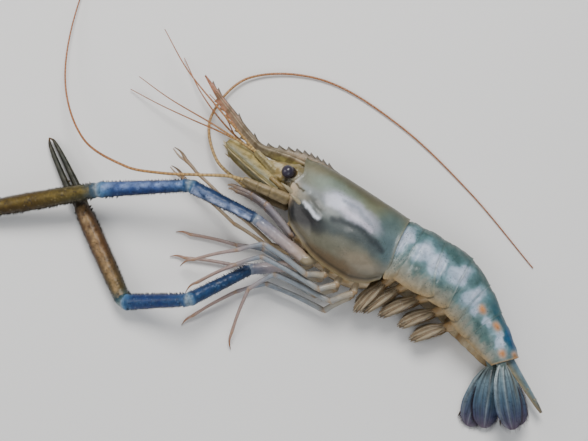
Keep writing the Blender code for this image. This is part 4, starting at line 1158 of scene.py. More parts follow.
    def scale(self, side: Side) -> None:
        """Make the broad scale beside an antenna: stiff outer edge with a tooth, ribbed blade, fringe.

        Args:
            side: of the head.
        """
        sign = side.sign
        root = np.array((-36.5, -0.2, MID + sign * 7))
        way = unit(np.array((-37, 4.4, -sign * 1)))
        across = np.array((0, -0.7, sign * 0.71))
        across = unit(across - way * (across @ way))
        face = np.cross(way, across)
        ribs = ((0.82, 0.35, 0.12), (0.3, 0.22, 0.08), (-0.15, 0.1, 0.06), (-0.45, 0.08, 0.05))
        local = leaf_rows(self.scale_outline, self.scale_length, 0.75, 34, 80,
            lambda u, v: -1.3 * (1 - v * v) * sign * np.ones_like(u), ribs)
        rows = carried(local, way, across, face, root)
        over = leaf_places(rows)[1]
        tint = ramp(over, ((-1, (0.62, 0.56, 0.34)), (-0.6, (0.56, 0.47, 0.24)), (-0.1, (0.48, 0.44, 0.3)),
            (0.25, (0.42, 0.42, 0.34)), (0.55, (0.36, 0.32, 0.18)), (0.8, (0.2, 0.17, 0.09)),
            (0.92, (0.5, 0.44, 0.28)), (1, (0.58, 0.5, 0.32))))
        tint = blend(tint, (0.16, 0.13, 0.07), 0.5 * bell(over - 0.36, 0.05))
        tint = blend(tint, (0.3, 0.24, 0.1), 0.5 * smoothstep(0.1, 0.8, ripple(rows, 7, 71)))
        bm = new_mesh()
        weave(bm, rows, tint)
        tooth = root + way * (self.scale_length * 0.9) + across * (self.scale_length * 0.115)
        spine(bm, tooth, unit(way + across * 0.1), 3.4, 0.6, (0.36, 0.3, 0.17), 10)
        weave(bm, round_rows(smooth_path((root + np.array((4.5, -0.8, -sign * 0.3)), root + way * 2,
            root + way * 7), 16), np.linspace(1.9, 1.1, 16), 16), (0.36, 0.28, 0.15))
        place_piece("antenna_scale_" + side.value, bm, HEAD, ("antennal_scale_" + side.value,))
        for u in 1 - np.linspace(0.87, 0.07, 150) ** 2:
            left, right = (float(column(self.scale_outline, k, u)) for k in (1, 2))
            for place, lean in ((left, -1),) + (((right, 0.9),) if u > 0.93 else ()):
                spot = root + way * (u * self.scale_length) + across * (place * self.scale_length)
                self.hairs.add(spot, way * (0.75 + u) + across * lean * (1.15 - u), 2, 0.035,
                    (0.58, 0.5, 0.34))

    def lash(self, bm: bmesh.types.BMesh, points: Sequence[Point], radii: tuple[float, float], count: int,
            ring: float) -> None:
        """Add one ringed whip to a mesh.

        Args:
            bm: the mesh that takes it.
            points: its route.
            radii: at its root and at its tip.
            count: how many rows it has.
            ring: pitch of its rings.
        """
        path = smooth_path(points, count)
        path[:, 2] = np.maximum(path[:, 2], 0.32)
        run = np.linspace(0, 1, count)
        radius = radii[0] + (radii[1] - radii[0]) * run ** 0.8
        length = np.concatenate(([0], np.cumsum(np.linalg.norm(np.diff(path, axis=0), axis=1))))
        radius = radius * (1 + 0.07 * np.cos(length * 2 * math.pi / ring))
        rows = round_rows(path, radius, 8)
        tint = ramp(np.linspace(0, 1, len(rows)), ((0, (0.6, 0.48, 0.26)), (0.12, (0.56, 0.4, 0.19)),
            (0.35, (0.48, 0.25, 0.11)), (1, (0.5, 0.23, 0.12))))
        dark = (0.5 + 0.5 * np.cos(np.pad(length, len(END_DOME)) * 2 * math.pi / (ring * 2))) ** 3
        tint = blend(tint, (0.17, 0.08, 0.035), 0.55 * dark)
        weave(bm, rows, np.repeat(tint[:, None], 8, axis=1))

    def whips(self, side: Side) -> None:
        """Make the long whip of the antenna and the three short ones of the antennule.

        Args:
            side: of the head.
        """
        bm = new_mesh()
        self.lash(bm, self.long_whips[side], (0.95, 0.3), 700, 1.1)
        place_piece("antenna_whip_" + side.value, bm, FEELER, ("flagellum_" + side.value + "_near",
            "flagellum_" + side.value + "_far"))
        bm = new_mesh()
        for index, points in enumerate(self.short_whips[side]):
            self.lash(bm, points, (0.72 - 0.08 * index, 0.22), 260, 0.9)
        place_piece("antennule_lashes_" + side.value, bm, FEELER, ("antennule_whips_" + side.value,))


@dataclass
class Abdomen:
    """The six overlapping rings behind the carapace."""

    joints: tuple[tuple[tuple[float, float], tuple[float, float], float, float], ...] = (
        ((28.6, 23.2), (34, -11.6), 16.7, 14.8), ((36, 24.2), (38, -8.2), 16.1, 15),
        ((48.5, 25.3), (54.5, -6.8), 15, 15.3), ((65, 25.6), (66.5, -6.6), 13.8, 14.2),
        ((80, 19.6), (74, -9), 12.2, 12.6), ((93, 11.4), (83, -12.4), 10.5, 10.9),
        ((114, -3.8), (103.4, -16), 8.3, 8.4))
    arc: float = math.radians(112)
    lobe_drop: tuple[float, ...] = (1.8, 3.6, 2.8, 2.4, 2, 0.7)
    lobe_spread: tuple[float, ...] = (0.3, 3.4, 1, 1.2, 1.6, 0.2)
    overlap: tuple[float, ...] = (0.14, 0.1, 0.09, 0.1, 0.1, 0)
    columns: int = 60
    rows: int = 44
    # Pale patches mid flank on each ring: partly the rings' own pale lavender, partly painted highlight.
    pale: tuple[Spot, ...] = (
        Spot(32, 11.2, 3.4, 7.6, -12, 0.35), Spot(43.5, 11.6, 4.8, 5.4, -10, 0.35),
        Spot(52, 9.8, 6, 5.4, -12, 0.3), Spot(65, 12, 4.2, 6.4, -35, 0.3),
        Spot(76.6, 7, 3.8, 6.4, -38, 0.35), Spot(81.5, 2.8, 2.4, 3, -35, 0.4),
        Spot(90, 0.2, 3.4, 2.2, -35, 0.4), Spot(101, -3.8, 6, 1.9, -42, 0.4))
    shade: tuple[Spot, ...] = (
        Spot(45, 3, 5.5, 3.4, -10, 0.7), Spot(59, 4, 4.2, 4, -20, 0.7), Spot(70.5, 3, 3.4, 5, -35, 0.7),
        Spot(57.5, 19, 6.5, 3.6, -10, 0.7), Spot(73, 15, 3.8, 4.2, -40, 0.7),
        Spot(86, -3.4, 4.4, 2.8, -40, 0.7), Spot(38, 20, 3.4, 6, -8, 0.7), Spot(93, -6.5, 4, 2.4, -40, 0.7))
    belly: tuple[tuple[float, float], ...] = ((0.9, 0.1), (0.84, 0.8), (0.74, 3.4), (0.55, 4.3), (0.3, 4.7),
            (0, 4.8))
    hinges: tuple[tuple[float, float], ...] = ((84.1, 4.3), (95.1, 1.7), (105.1, -8.2), (111.4, -5))

    def ring(self, index: int) -> tuple[Array, Array, Array, Array]:
        """Work out one segment's outer skin.

        Args:
            index: of the segment, from 0 behind the shield.

        Returns:
            Its points, the place along, the share down to its edge, and its half width.
        """
        front, back = self.joints[index], self.joints[index + 1]
        s = np.linspace(-0.05 if index else -0.12, 1 + self.overlap[index], self.rows)[:, None]
        angle = np.linspace(self.arc, -self.arc, 2 * self.columns + 1)[None, :]
        share = (1 - np.cos(angle)) / (1 - math.cos(self.arc))
        top = np.array(front[0], float) + (np.array(back[0], float) - np.array(front[0], float)) * s
        edge = np.array(front[1], float) + (np.array(back[1], float) - np.array(front[1], float)) * s
        mid = front[2] + (back[2] - front[2]) * s
        half = front[3] + (back[3] - front[3]) * s
        down = unit(edge - top)
        tuck = 0.955 + 0.045 * np.clip(s / 0.35, 0, 1) ** 0.7
        top = top + down * ((1 - tuck) * 12 - 0.5 * np.sin(math.pi * np.clip(s, 0, 1)))
        flank = top[:, None] + (edge - top)[:, None] * share[..., None]
        lobe = np.clip((share - 0.45) / 0.55, 0, 1) ** 1.6
        curve = np.sqrt(np.clip(1 - np.abs(2 * (s - 0.5) / 1.14) ** 2.6, 0, 1)) - 0.55
        flank = flank + down[:, None] * (self.lobe_drop[index] * curve * lobe)[..., None]
        flank[..., 0] += (2 * (s - 0.5)) * self.lobe_spread[index] * lobe
        wide = half * tuck * (1 + (0.035 if index == 1 else 0) * lobe)
        z = mid + np.sign(angle) * wide * np.sin(np.abs(angle)) ** 0.9
        return np.concatenate((flank, z[..., None]), axis=-1), s, share, half * tuck

    def build(self) -> None:
        """Make the six rings."""
        for index in range(6):
            outer, s, share, wide = self.ring(index)
            left_edge, right_edge = outer[:, :1], outer[:, -1:]
            mid = (left_edge[..., 2:] + right_edge[..., 2:]) / 2
            under = []
            for sign, edge, places in ((-1, right_edge, self.belly), (1, left_edge, self.belly[-2::-1])):
                for part, lift in places:
                    point = edge.copy()
                    point[..., 1] += lift
                    point[..., 2:] = mid + sign * wide[:, None] * part
                    under.append(point)
            rows = np.concatenate((outer, *under), axis=1)
            covered = np.concatenate((np.ones(outer.shape[1]), np.zeros(len(under))))
            reach = np.concatenate((share[0], np.ones(len(under))))[None, :]

            last = 1 + self.overlap[index]
            relief = 0.04 * bell(last - s, 0.03) - 0.08 * bell(last - 0.07 - s, 0.05)
            relief = relief + 0.28 * bell(1 - reach, 0.03) - 0.25 * bell(s - 0.3, 0.06)
            relief = relief + 0.14 * ripple(rows, 9, 60 + index) + 0.04 * ripple(rows, 3, 70 + index)
            for x, y in self.hinges:
                relief = relief + 0.6 * Spot(x, y, 1.7, 1.4, -30, 0.8).mask(rows)
            rows = push_out(rows, relief * covered)
            tint = self.colours(index, rows, s, reach, covered)
            middle = rows.mean(axis=1, keepdims=True)
            front = [middle[0] + (rows[0] - middle[0]) * size for size in (0, 0.5, 0.97)]
            rear = [middle[-1] + (rows[-1] - middle[-1]) * size for size in (0.97, 0.94, 0)]
            shift = unit(middle[-1] - middle[0])
            rear[1], rear[2] = rear[1] - shift, rear[2] - shift * 1.6
            rows = np.concatenate((np.array(front, float), rows, np.array(rear, float)))
            tint = np.concatenate((np.repeat(tint[:1], 3, axis=0), tint, np.repeat(tint[-1:], 3, axis=0)))
            skin_piece("abdomen_ring_" + str(index + 1), rows, tint, RINGED, ("abdomen_" + str(index + 1),))

    def colours(self, index: int, rows: Array, s: Array, reach: Array, covered: Array) -> Array:
        """Tint one ring: teal over the back, pale on the flank with painted highlights, warm on the flap,
        cream below.

        Args:
            index: of the ring.
            rows: its points.
            s: the place of each along the ring.
            reach: the share of each down to the edge.
            covered: 1 on the outer skin, 0 on the underside.

        Returns:
            The colours.
        """
        flank = np.abs(reach) + 0 * rows[..., 0]
        stops = ((0, (0.08, 0.12, 0.11)), (0.07, (0.09, 0.16, 0.155)), (0.2, (0.15, 0.25, 0.27)),
            (0.5, (0.24, 0.34, 0.36)), (0.7, (0.29, 0.33, 0.31)), (0.88, (0.33, 0.31, 0.25)),
            (1, (0.36, 0.28, 0.17)))
        tint = ramp(flank, stops)
        streaks = ripple(np.stack((rows[..., 0] - 0.25 * rows[..., 1], 0.12 * rows[..., 1]), axis=-1), 3.2,
            300 + index)
        tint = blend(tint, (0.13, 0.22, 0.21), 0.45 * smoothstep(0, 0.8, streaks) * (1 - smoothstep(0.7, 1,
            flank)))
        marks = [(spot, (0.1, 0.18, 0.175), 0.8) for spot in self.shade]
        marks += [(Spot(105, 2.4, 9, 4.2, -42, 0.7), (0.02, 0.14, 0.27), 0.9),
            (Spot(92, 9, 8, 3, -40, 0.8), (0.03, 0.15, 0.2), 0.7)]
        # Painted highlights over each pale spot: a wide pale halo, the pale patch, and a brighter core set a
        # little up and along.
        marks += [(Spot(spot.x, spot.y, spot.along * 1.35, spot.up * 1.3, spot.turn, 0.5), (0.28, 0.41, 0.46),
            0.7) for spot in self.pale]
        marks += [(spot, (0.5, 0.57, 0.67), 0.85) for spot in self.pale]
        marks += [(Spot(spot.x + 0.6, spot.y + 1, spot.along * 0.5, spot.up * 0.5, spot.turn, 0.6),
            (0.66, 0.7, 0.8), 0.6) for spot in self.pale]
        tint = paint(tint, rows, marks, 1.3, 90 + index)
        hinge_marks = [(Spot(x, y, 2.8, 2.3, -30, 0.8), (0.6, 0.5, 0.44), 0.7) for x, y in self.hinges]
        hinge_marks += [(Spot(x, y, 1.8, 1.5, -30, 0.9), (0.62, 0.31, 0.12), 0.85) for x, y in self.hinges]
        tint = paint(tint, rows, hinge_marks, 0.35, 95 + index)
        last = 1 + self.overlap[index]
        tint = blend(tint, (0.1, 0.16, 0.15), 0.5 * bell(last - 0.06 - s, 0.03) * (1 - 0.5 * flank))
        rim = (0.42, 0.3, 0.17) if index == 5 else (0.24, 0.28, 0.25)
        tint = blend(tint, rim, (0.9 if index == 5 else 0.4) * bell(last - s, 0.025) + 0 * flank)
        belly = ramp(s + 0 * flank, ((0, (0.4, 0.28, 0.15)), (0.22, (0.62, 0.54, 0.4)),
            (0.65, (0.56, 0.47, 0.32)), (1.05, (0.3, 0.2, 0.1))))
        belly = blend(belly, (0.36, 0.25, 0.13), 0.45 * smoothstep(0, 0.7, ripple(rows, 4, 120 + index)))
        return blend(tint, belly, np.broadcast_to(1 - covered, flank.shape))


@dataclass
class TailFan:
    """The telson, and the two blades on each side of it."""

    hairs: Bristles
    telson_root: Point = (109.5, -7.6, 8.3)
    telson_way: Point = (0.91, -0.41, -0.05)
    telson_roll: float = 30.0
    telson_length: float = 32.0
    telson: Table = ((0, 4.9, 3), (0.25, 4.4, 2.5), (0.55, 3.5, 1.9), (0.85, 2.4, 1.2), (1, 0.5, 0.5))
    blade_length: float = 31.5
    outline: Table = ((0, -0.07, 0.07), (0.12, -0.14, 0.13), (0.35, -0.21, 0.19), (0.62, -0.23, 0.21),
            (0.84, -0.19, 0.18), (0.96, -0.1, 0.11), (1, -0.03, 0.04))
    ribs: dict[str, Table] = field(default_factory=lambda: {
        "inner": ((0.05, 0.42, 0.1), (-0.42, 0.12, 0.05), (0.45, 0.12, 0.05)),
        "outer": ((-0.1, 0.4, 0.1), (-0.8, 0.4, 0.12), (0.38, 0.14, 0.05), (0.66, 0.1, 0.04))})
    roots: dict[Side, tuple[Point, Point, float, float]] = field(default_factory=lambda: {
        Side.LEFT: ((108, -12.6, 13.2), (0.2, 0.24, 0.95), -39, -51),
        Side.RIGHT: ((105.5, -14.8, 4.2), (0, -0.06, 1), -66, -80)})

    def build(self) -> None:
        """Make the telson and the four blades."""
        self.make_telson()
        for side in Side:
            self.make_blades(side)

    def make_telson(self) -> None:
        """Make the tapering middle plate, ridged along the back, with its small spines."""
        root, way = np.array(self.telson_root, float), unit(np.array(self.telson_way, float))
        roll = np.array(Matrix.Rotation(math.radians(self.telson_roll), 3, Vector(way)))
        up, side = roll @ np.array((0.41, 0.91, 0)), roll @ np.array((0, 0, 1))
        share = np.linspace(0, 1, 70)
        half, rise = (column(self.telson, k, share) for k in (1, 2))
        across = np.concatenate((np.linspace(1, -1, 31), np.linspace(-1, 1, 15)[1:-1]))
        over = np.concatenate((np.ones(31), np.zeros(13)))
        dome = (1 - np.abs(across) ** 1.7) - 0.20 * bell(np.abs(across) - 0.45, 0.14)
        z = half[:, None] * across
        y = np.where(over > 0, dome * rise[:, None] - 0.5 * np.abs(across) ** 3, -0.8)
        centre = root + way * (self.telson_length * share)[:, None]
        rows = centre[:, None] + side * z[..., None] + up * y[..., None]
        flat = np.abs(across)[None, :] + 0 * z
        tint = ramp(flat, ((0, (0.3, 0.37, 0.4)), (0.35, (0.22, 0.29, 0.32)), (0.7, (0.24, 0.27, 0.24)),
            (1, (0.36, 0.31, 0.21))))
        tint = blend(tint, (0.22, 0.33, 0.42), 0.6 * bell(share - 0.12, 0.12)[:, None] * (1 - flat))
        tint = blend(tint, (0.24, 0.19, 0.13), 0.7 * smoothstep(0.55, 1, share)[:, None] + 0 * z)
        rows = closed_off(rows)
        tint = np.concatenate((tint[:1], tint, tint[-1:]))
        bm = new_mesh()
        weave(bm, rows, tint)
        for place, out in ((0.55, 0.5), (0.75, 0.5)):
            for sign in (1, -1):
                wide, high = (float(np.interp(place, share, v)) for v in (half, rise))
                spot = root + way * self.telson_length * place + side * sign * wide * out + up * high * 0.55
                spine(bm, spot, unit(way + up * 0.35), 1.5, 0.28, (0.45, 0.38, 0.24), 8)
        for sign, length in ((1, 1.6), (-1, 1.6), (1, 2.6), (-1, 2.6)):
            spot = root + way * self.telson_length * 0.90 + side * sign * (1.5 if length < 2 else 1.1)
            spine(bm, spot, unit(way + side * sign * 0.1), length, 0.22, (0.4, 0.32, 0.2), 8)
        place_piece("telson_plate", bm, RINGED, ("telson",))
        for offset in np.linspace(-1, 1, 26):
            spot = root + way * self.telson_length * 0.90 + side * offset * 1.6
            self.hairs.add(spot, way + side * offset * 0.35, 2.4, 0.05, (0.2, 0.16, 0.14))

    def make_blades(self, side: Side) -> None:
        """Make one side's stem and its inner and outer blades.

        Args:
            side: of the fan.
        """
        root, plane, inner, outer = self.roots[side]
        root, plane = np.array(root, float), unit(np.array(plane, float))
        lift = 0.95 * side.sign
        for label, heading, offset, extra in (("inner", inner, -lift, 0), ("outer", outer, lift, 1.5)):
            way = np.array((math.cos(math.radians(heading)), math.sin(math.radians(heading)), 0))
            way = unit(way - plane * (way @ plane))
            across = np.cross(plane, way)
            start = root + plane * offset
            length = self.blade_length + extra
            ribs = self.ribs[label]
            local = leaf_rows(self.outline, length, 0.8, 52, 90,
                lambda u, v: 0.55 * (1 - np.abs(v)) * (1 - u * 0.6), ribs)
            rows = carried(local, way, across, plane, start)
            u, v = leaf_places(rows)
            tint = ramp(u, ((0, (0.38, 0.44, 0.44)), (0.25, (0.22, 0.3, 0.34)), (0.55, (0.09, 0.15, 0.21)),
                (0.8, (0.075, 0.08, 0.145)), (1, (0.15, 0.1, 0.14))))
            tint = blend(tint, (0.24, 0.2, 0.11), 0.6 * bell(v - 0.78, 0.16) * (1 - smoothstep(0.3, 0.75, u)))
            rib = sum(bell(v - place, width * 1.1) * height for place, height, width in ribs)
            tint = blend(tint, (0.46, 0.5, 0.5), 2.0 * rib * (1 - 0.75 * u))
            stripes = 0.5 + 0.5 * np.cos(v * 34 + 2 * np.sin(u * 5))
            folds = smoothstep(-0.1, 0.6, ripple(np.stack((v * 2, u * 0.5), axis=-1), 0.7, 400, 2))
            tint = blend(tint, (0.03, 0.045, 0.06), 0.6 * folds * (1 - 0.5 * u))
            tint = blend(tint, (0.2, 0.26, 0.31), 0.4 * stripes * smoothstep(0.1, 0.35, u) * (1 - 0.6 * u))
            bm = new_mesh()
            weave(bm, rows, tint)
            nodes = ("uropod_" + side.value + "_endopod",)
            if label == "outer":
                stem = np.array((root[0] - 5, root[1] + 4.5, root[2]))
                path = smooth_path((stem, root, start + way * 3), 24)
                girth = spread(((0, 2.6), (0.6, 2.7), (1, 1.2)), 24)
                weave(bm, round_rows(path, girth, 24), (0.16, 0.21, 0.2))
                edge = start + way * length * 0.84 + across * (-0.185 * length)
                spine(bm, edge, unit(way - across * 0.1), 3, 0.5, (0.1, 0.08, 0.06), 8)
                nodes = ("uropod_" + side.value + "_exopod",)
            place_piece("tail_blade_" + label + "_" + side.value, bm, FAN, nodes)
            for place in np.linspace(0.35, 0.998, 130):
                for k, sign in ((1, -1), (2, 1)):
                    if label == "outer" and sign < 0 and place < 0.84:
                        continue
                    rim = float(column(self.outline, k, place)) * length
                    spot = start + way * place * length + across * rim
                    self.hairs.add(spot, way * (0.5 + place ** 3 * 1.6) + across * sign * (1.2 - place), 2.5,
                        0.06, (0.07, 0.05, 0.075))


@dataclass
class Swimmerets:
    """Five pairs of flat, fringed legs under the abdomen."""

    hairs: Bristles
    routes: tuple[tuple[Point, Point], ...] = (
        ((38, -3.6, 19.8), (29.5, -30, 15.5)), ((47.5, -1.8, 18.8), (33, -27.5, 14.5)),
        ((60.5, -1.2, 17.6), (41.5, -24, 13.5)), ((70.5, -2.8, 16), (53, -22.8, 12)),
        ((79.5, -6.2, 14.2), (62, -25, 10)))
    mids: tuple[float, ...] = (16.4, 15.55, 14.4, 13, 11.35)
    tip_drop: float = 9.5
    stem_share: float = 0.36
    leaf_width: float = 6.4
    leaf: Table = ((0, -0.1, 0.1), (0.2, -0.17, 0.17), (0.5, -0.19, 0.19), (0.8, -0.13, 0.13),
            (1, -0.04, 0.04))

    def build(self) -> None:
        """Make the ten of them."""
        for index, (root, tip) in enumerate(self.routes):
            for side in Side:
                start, end = np.array(root, float), np.array(tip, float)
                if side is Side.RIGHT:
                    start[2] = 2 * self.mids[index] - start[2]
                    end[2] -= self.tip_drop
                self.make(index, side, start, end)

    def make(self, index: int, side: Side, start: Array, end: Array) -> None:
        """Make one: a flattened stem that forks into two ribbed leaves.

        Args:
            index: of its pair, from 0 at the front.
            side: of the body.
            start: its root.
            end: its tip.
        """
        bm = new_mesh()
        way = unit(end - start)
        fork = start + (end - start) * self.stem_share
        path = np.linspace(start, fork, 22)
        girth = spread(((0, 1.9), (0.4, 2.3), (0.8, 2), (1, 1.5)), 22)
        rows = round_rows(path, girth, 22, flat=1.1)
        tint = ramp(np.linspace(0, 1, len(rows)), ((0, (0.46, 0.34, 0.18)), (0.5, (0.5, 0.4, 0.26)),
            (1, (0.42, 0.27, 0.13))))
        weave(bm, rows, np.repeat(tint[:, None], 22, axis=1))
        for shift, splay in ((1, 0.12), (-1, -0.12)):
            across = np.array((0.8, -0.34, 0.5))
            across = unit(across - way * (across @ way))
            lean = unit(way + across * splay)
            sideways = unit(across - lean * (across @ lean))
            face = np.cross(lean, sideways)
            root = fork - lean * 2.2 + np.cross(way, across) * shift * 0.75
            length = float(np.linalg.norm(end - fork)) + 2.2 - (0 if shift > 0 else 2.5)
            size = self.leaf_width / length / 0.38
            shape = tuple((u, a * size, b * size) for u, a, b in self.leaf)
            strands = (-0.8, -0.46, -0.1, 0.28, 0.68)
            ribs = tuple((place, 0.55 - 0.15 * abs(place), 0.11) for place in strands)
            local = leaf_rows(shape, length, 0.4, 44, 44, lambda u, v: 0.4 * (1 - np.abs(v)) + 0 * u, ribs)
            rows = carried(local, lean, sideways, face, root)
            u, v = leaf_places(rows)
            tint = ramp(u, ((0, (0.24, 0.16, 0.07)), (0.4, (0.1, 0.075, 0.045)), (1, (0.12, 0.095, 0.065))))
            strand = sum(bell(v - place, 0.12) for place in strands)
            tint = blend(tint, (0.4, 0.35, 0.26), 0.85 * strand * (0.8 + 0.4 * ripple(rows, 5, 200 + index)))
            weave(bm, rows, tint)
            for number, place in enumerate(strands):
                reach = length * (0.98, 1.04, 1.06, 1.02, 0.95)[number]
                begin = root + lean * length * 0.12 + sideways * place * self.leaf_width * 0.25
                bend = root + lean * length * 0.55 + sideways * place * self.leaf_width * 0.52 + face * 0.7
                finish = root + lean * reach + sideways * place * self.leaf_width * 0.50
                girth = spread(((0, 0.5), (0.4, 0.75), (0.8, 0.5), (1, 0.15)), 22)
                weave(bm, round_rows(smooth_path((begin, bend, finish), 22), girth, 8, flat=1.3),
                    (0.42 - 0.12 * (number % 2), 0.36 - 0.12 * (number % 2), 0.27 - 0.10 * (number % 2)))
            for place in np.linspace(0.15, 0.99, 34):
                for k, sign in ((1, -1), (2, 1)):
                    rim = float(column(shape, k, place)) * length
                    spot = root + lean * place * length + sideways * rim
                    self.hairs.add(spot, lean * (0.7 + place) + sideways * sign * (1.2 - place), 2.2, 0.05,
                        (0.36, 0.28, 0.18))
        place_piece("swimmeret_leaf_" + str(index + 1) + "_" + side.value, bm, FLESH,
            ("swimmeret_" + str(index + 1) + "_" + side.value,))


SEGMENT_SWELL: Table = ((0, 0.8), (0.07, 0.98), (0.2, 0.93), (0.75, 0.92), (0.9, 1.04), (0.97, 1.08),
    (1, 0.98))


@dataclass
class WalkingLegs:
    """Walking legs, the slender first pair with small pincers, and the leg-like jaws."""

    hairs: Bristles
    walking_radii: tuple[float, ...] = (2.3, 2.1, 1.75, 1.5, 1.2, 0.95, 0.35)
    slender_radii: tuple[float, ...] = (2, 1.7, 1.35, 1.15, 1, 1.25, 0.4)
    jaw_radii: tuple[float, ...] = (2.3, 2.1, 1.9, 1.6, 1.35, 0.7)
    walking: dict[str, tuple[Point, ...]] = field(default_factory=lambda: {
        "leg_3_left": ((7.5, -21, 21), (7.5, -26.5, 24), (0, -31.5, 27.5), (-26, -31, 31),
                       (-36, -40.5, 26), (-54, -56, 12), (-59, -62, 4.5)),
        "leg_4_left": ((15, -20.5, 21), (15.5, -27, 23.5), (9.5, -33.8, 24), (-24, -36.5, 26),
                       (-33, -46.5, 21), (-46, -64.5, 9), (-49, -71.5, 2)),
        "leg_5_left": ((23, -18.5, 21), (25, -25, 22), (17.5, -35.2, 19.5), (-14, -39.5, 20),
                       (-21, -53, 16), (-16.5, -76, 5), (-12.5, -83, 0.9)),
        "leg_3_right": ((7.5, -21, 13.4), (6, -27.5, 9), (-1, -30.5, 4.6), (-28, -30, 3.4),
                        (-41, -36, 3), (-65, -45, 2.2), (-72, -48, 0.9)),
        "leg_4_right": ((15, -20.5, 13.4), (15.5, -27.5, 9.5), (8.5, -35.5, 5.2), (-24, -38.5, 3.4),
                        (-37, -46, 3), (-60, -57, 2.2), (-67, -60.5, 0.9)),
        "leg_5_right": ((23, -18.5, 13.4), (24.5, -26, 10.5), (17, -39.5, 7), (-16, -44.5, 6),
                        (-27, -57, 5), (-39, -80, 2), (-41, -87, 0.8))})
    slender: dict[str, tuple[Point, ...]] = field(default_factory=lambda: {
        "leg_1_left": ((-9, -18.5, 19.6), (-11, -24.5, 19), (-24, -27.5, 18.2), (-49, -24, 18.6),
                       (-78, -17.5, 16.6), (-87, -15, 16), (-96, -12.5, 15.4)),
        "leg_1_right": ((-9, -18.5, 14.8), (-11, -24.5, 14), (-24, -28.5, 11), (-48, -28, 9),
                        (-76, -24, 6), (-85, -22, 5.2), (-94, -20, 4.6))})
    jaws: dict[str, tuple[Point, ...]] = field(default_factory=lambda: {
        "maxilliped_left": ((-16, -14, 20.6), (-18, -18, 21.8), (-38, -12, 22.8), (-47, -11.6, 22.6),
                            (-56, -13.2, 22), (-60, -14.4, 21.6)),
        "maxilliped_right": ((-16, -14, 13.8), (-18, -18, 12.6), (-38, -12, 11.6), (-47, -11.6, 11.8),
                             (-56, -13.2, 12.4), (-60, -14.4, 12.8))})

    def build(self) -> None:
        """Make every leg and jaw."""
        for name, points in self.walking.items():
            self.leg(name, points, self.walking_radii, "claw")
        for name, points in self.slender.items():
            self.leg(name, points, self.slender_radii, "pincer")
        for name, points in self.jaws.items():
            self.leg(name, points, self.jaw_radii, "jaw")

    def leg(self, name: str, points: Sequence[Point], radii: Sequence[float], end: str) -> None:
        """Make one leg of jointed lengths.

        Args:
            name: of the frame's node.
            points: its joints.
            radii: the radius at each.
            end: how it ends, as claw, pincer or jaw.
        """
        bm = new_mesh()
        joints = np.array(points, float)
        count = len(joints) - 1
        source = np.random.default_rng(sum(name.encode()))
        for index in range(count):
            start, stop = joints[index], joints[index + 1]
            reach = float(np.linalg.norm(stop - start))
            rows_along = max(14, int(reach / 0.9))
            run = np.linspace(0, 1, rows_along)
            last = index == count - 1
            side_way = unit(np.cross(stop - start, (0, 0, 1)))
            bow = np.sin(math.pi * run)[:, None] * side_way * (0.02 * reach if not last else 0.10 * reach)
            path = start + (stop - start) * run[:, None] + bow
            swell = read_table(SEGMENT_SWELL if not last else ((0, 0.9), (0.1, 1), (0.6, 0.85), (1, 0.6)),
                run)
            girth = (radii[index] + (radii[index + 1] - radii[index]) * run) * swell
            path[:, 2] = np.maximum(path[:, 2], girth * 0.9)
            rows = round_rows(path, girth, 20, flat=0.9, domes=(0.8, 0.9 if not last else 1.4))
            here = (index + past_domes(run)) / count
            weave(bm, rows, self.colours(here, past_domes(run), rows, end))
            if index >= 2:
                for _ in range(int(reach * (1.4 if end != "jaw" else 5))):
                    place = source.uniform(0.1, 0.98)
                    middle = start + (stop - start) * place
                    out = unit(np.cross(stop - start, source.normal(size=3)))
                    thick = float(np.interp(place, run, girth))
                    self.hairs.add(middle + out * thick * 0.85, out + unit(stop - start) * 0.9,
                        source.uniform(0.6, 1.3) * (1.0 if end != "jaw" else 1.8), 0.04, (0.34, 0.26, 0.18))
        if end == "pincer":
            hinge, tip = joints[-2], joints[-1]
            aside = unit(np.cross(tip - hinge, (0, 0, 1)))
            path = smooth_path((hinge - aside * 0.3, hinge + (tip - hinge) * 0.4 - aside * 1.25,
                tip - aside * 1), 20)
            weave(bm, round_rows(path, np.linspace(0.8, 0.28, 20), 14), (0.42, 0.34, 0.26))
        place_piece(name + "_limb", bm, LEG, (name,))

    def colours(self, here: Array, run: Array, rows: Array, end: str) -> Array:
        """Tint one length of a leg: cool near the body, warm further out, amber at the joints.

        Args:
            here: the place of each row along the whole leg, from 0 to 1.
            run: the same along this length.
            rows: its points.
            end: how the leg ends.

        Returns:
            The colours.
        """
        if end == "jaw":
            stops = ((0, (0.38, 0.33, 0.28)), (0.35, (0.33, 0.31, 0.34)), (0.7, (0.36, 0.3, 0.28)),
                (1, (0.42, 0.32, 0.22)))
        elif end == "pincer":
            stops = ((0, (0.46, 0.36, 0.22)), (0.5, (0.46, 0.38, 0.28)), (0.8, (0.38, 0.28, 0.18)),
                (1, (0.2, 0.13, 0.07)))
        else:
            stops = ((0, (0.5, 0.4, 0.26)), (0.25, (0.46, 0.42, 0.35)), (0.38, (0.35, 0.38, 0.4)),
                (0.52, (0.33, 0.37, 0.42)), (0.7, (0.45, 0.36, 0.34)), (0.85, (0.5, 0.36, 0.3)),
                (0.95, (0.4, 0.22, 0.12)), (1, (0.16, 0.07, 0.03)))
        tint = ramp(here, stops)
        tint = blend(tint, (0.46, 0.27, 0.1), 0.45 * bell(1 - run, 0.05) + 0.4 * bell(run, 0.05))
        tint = np.repeat(tint[:, None], rows.shape[1], axis=1)
        angle = np.linspace(0, 2 * math.pi, rows.shape[1], endpoint=False)
        band = 0.5 + 0.5 * np.cos(angle - 1.2)
        return blend(tint, (0.25, 0.22, 0.2), 0.35 * band[None, :] ** 4 + 0 * rows[..., 0])


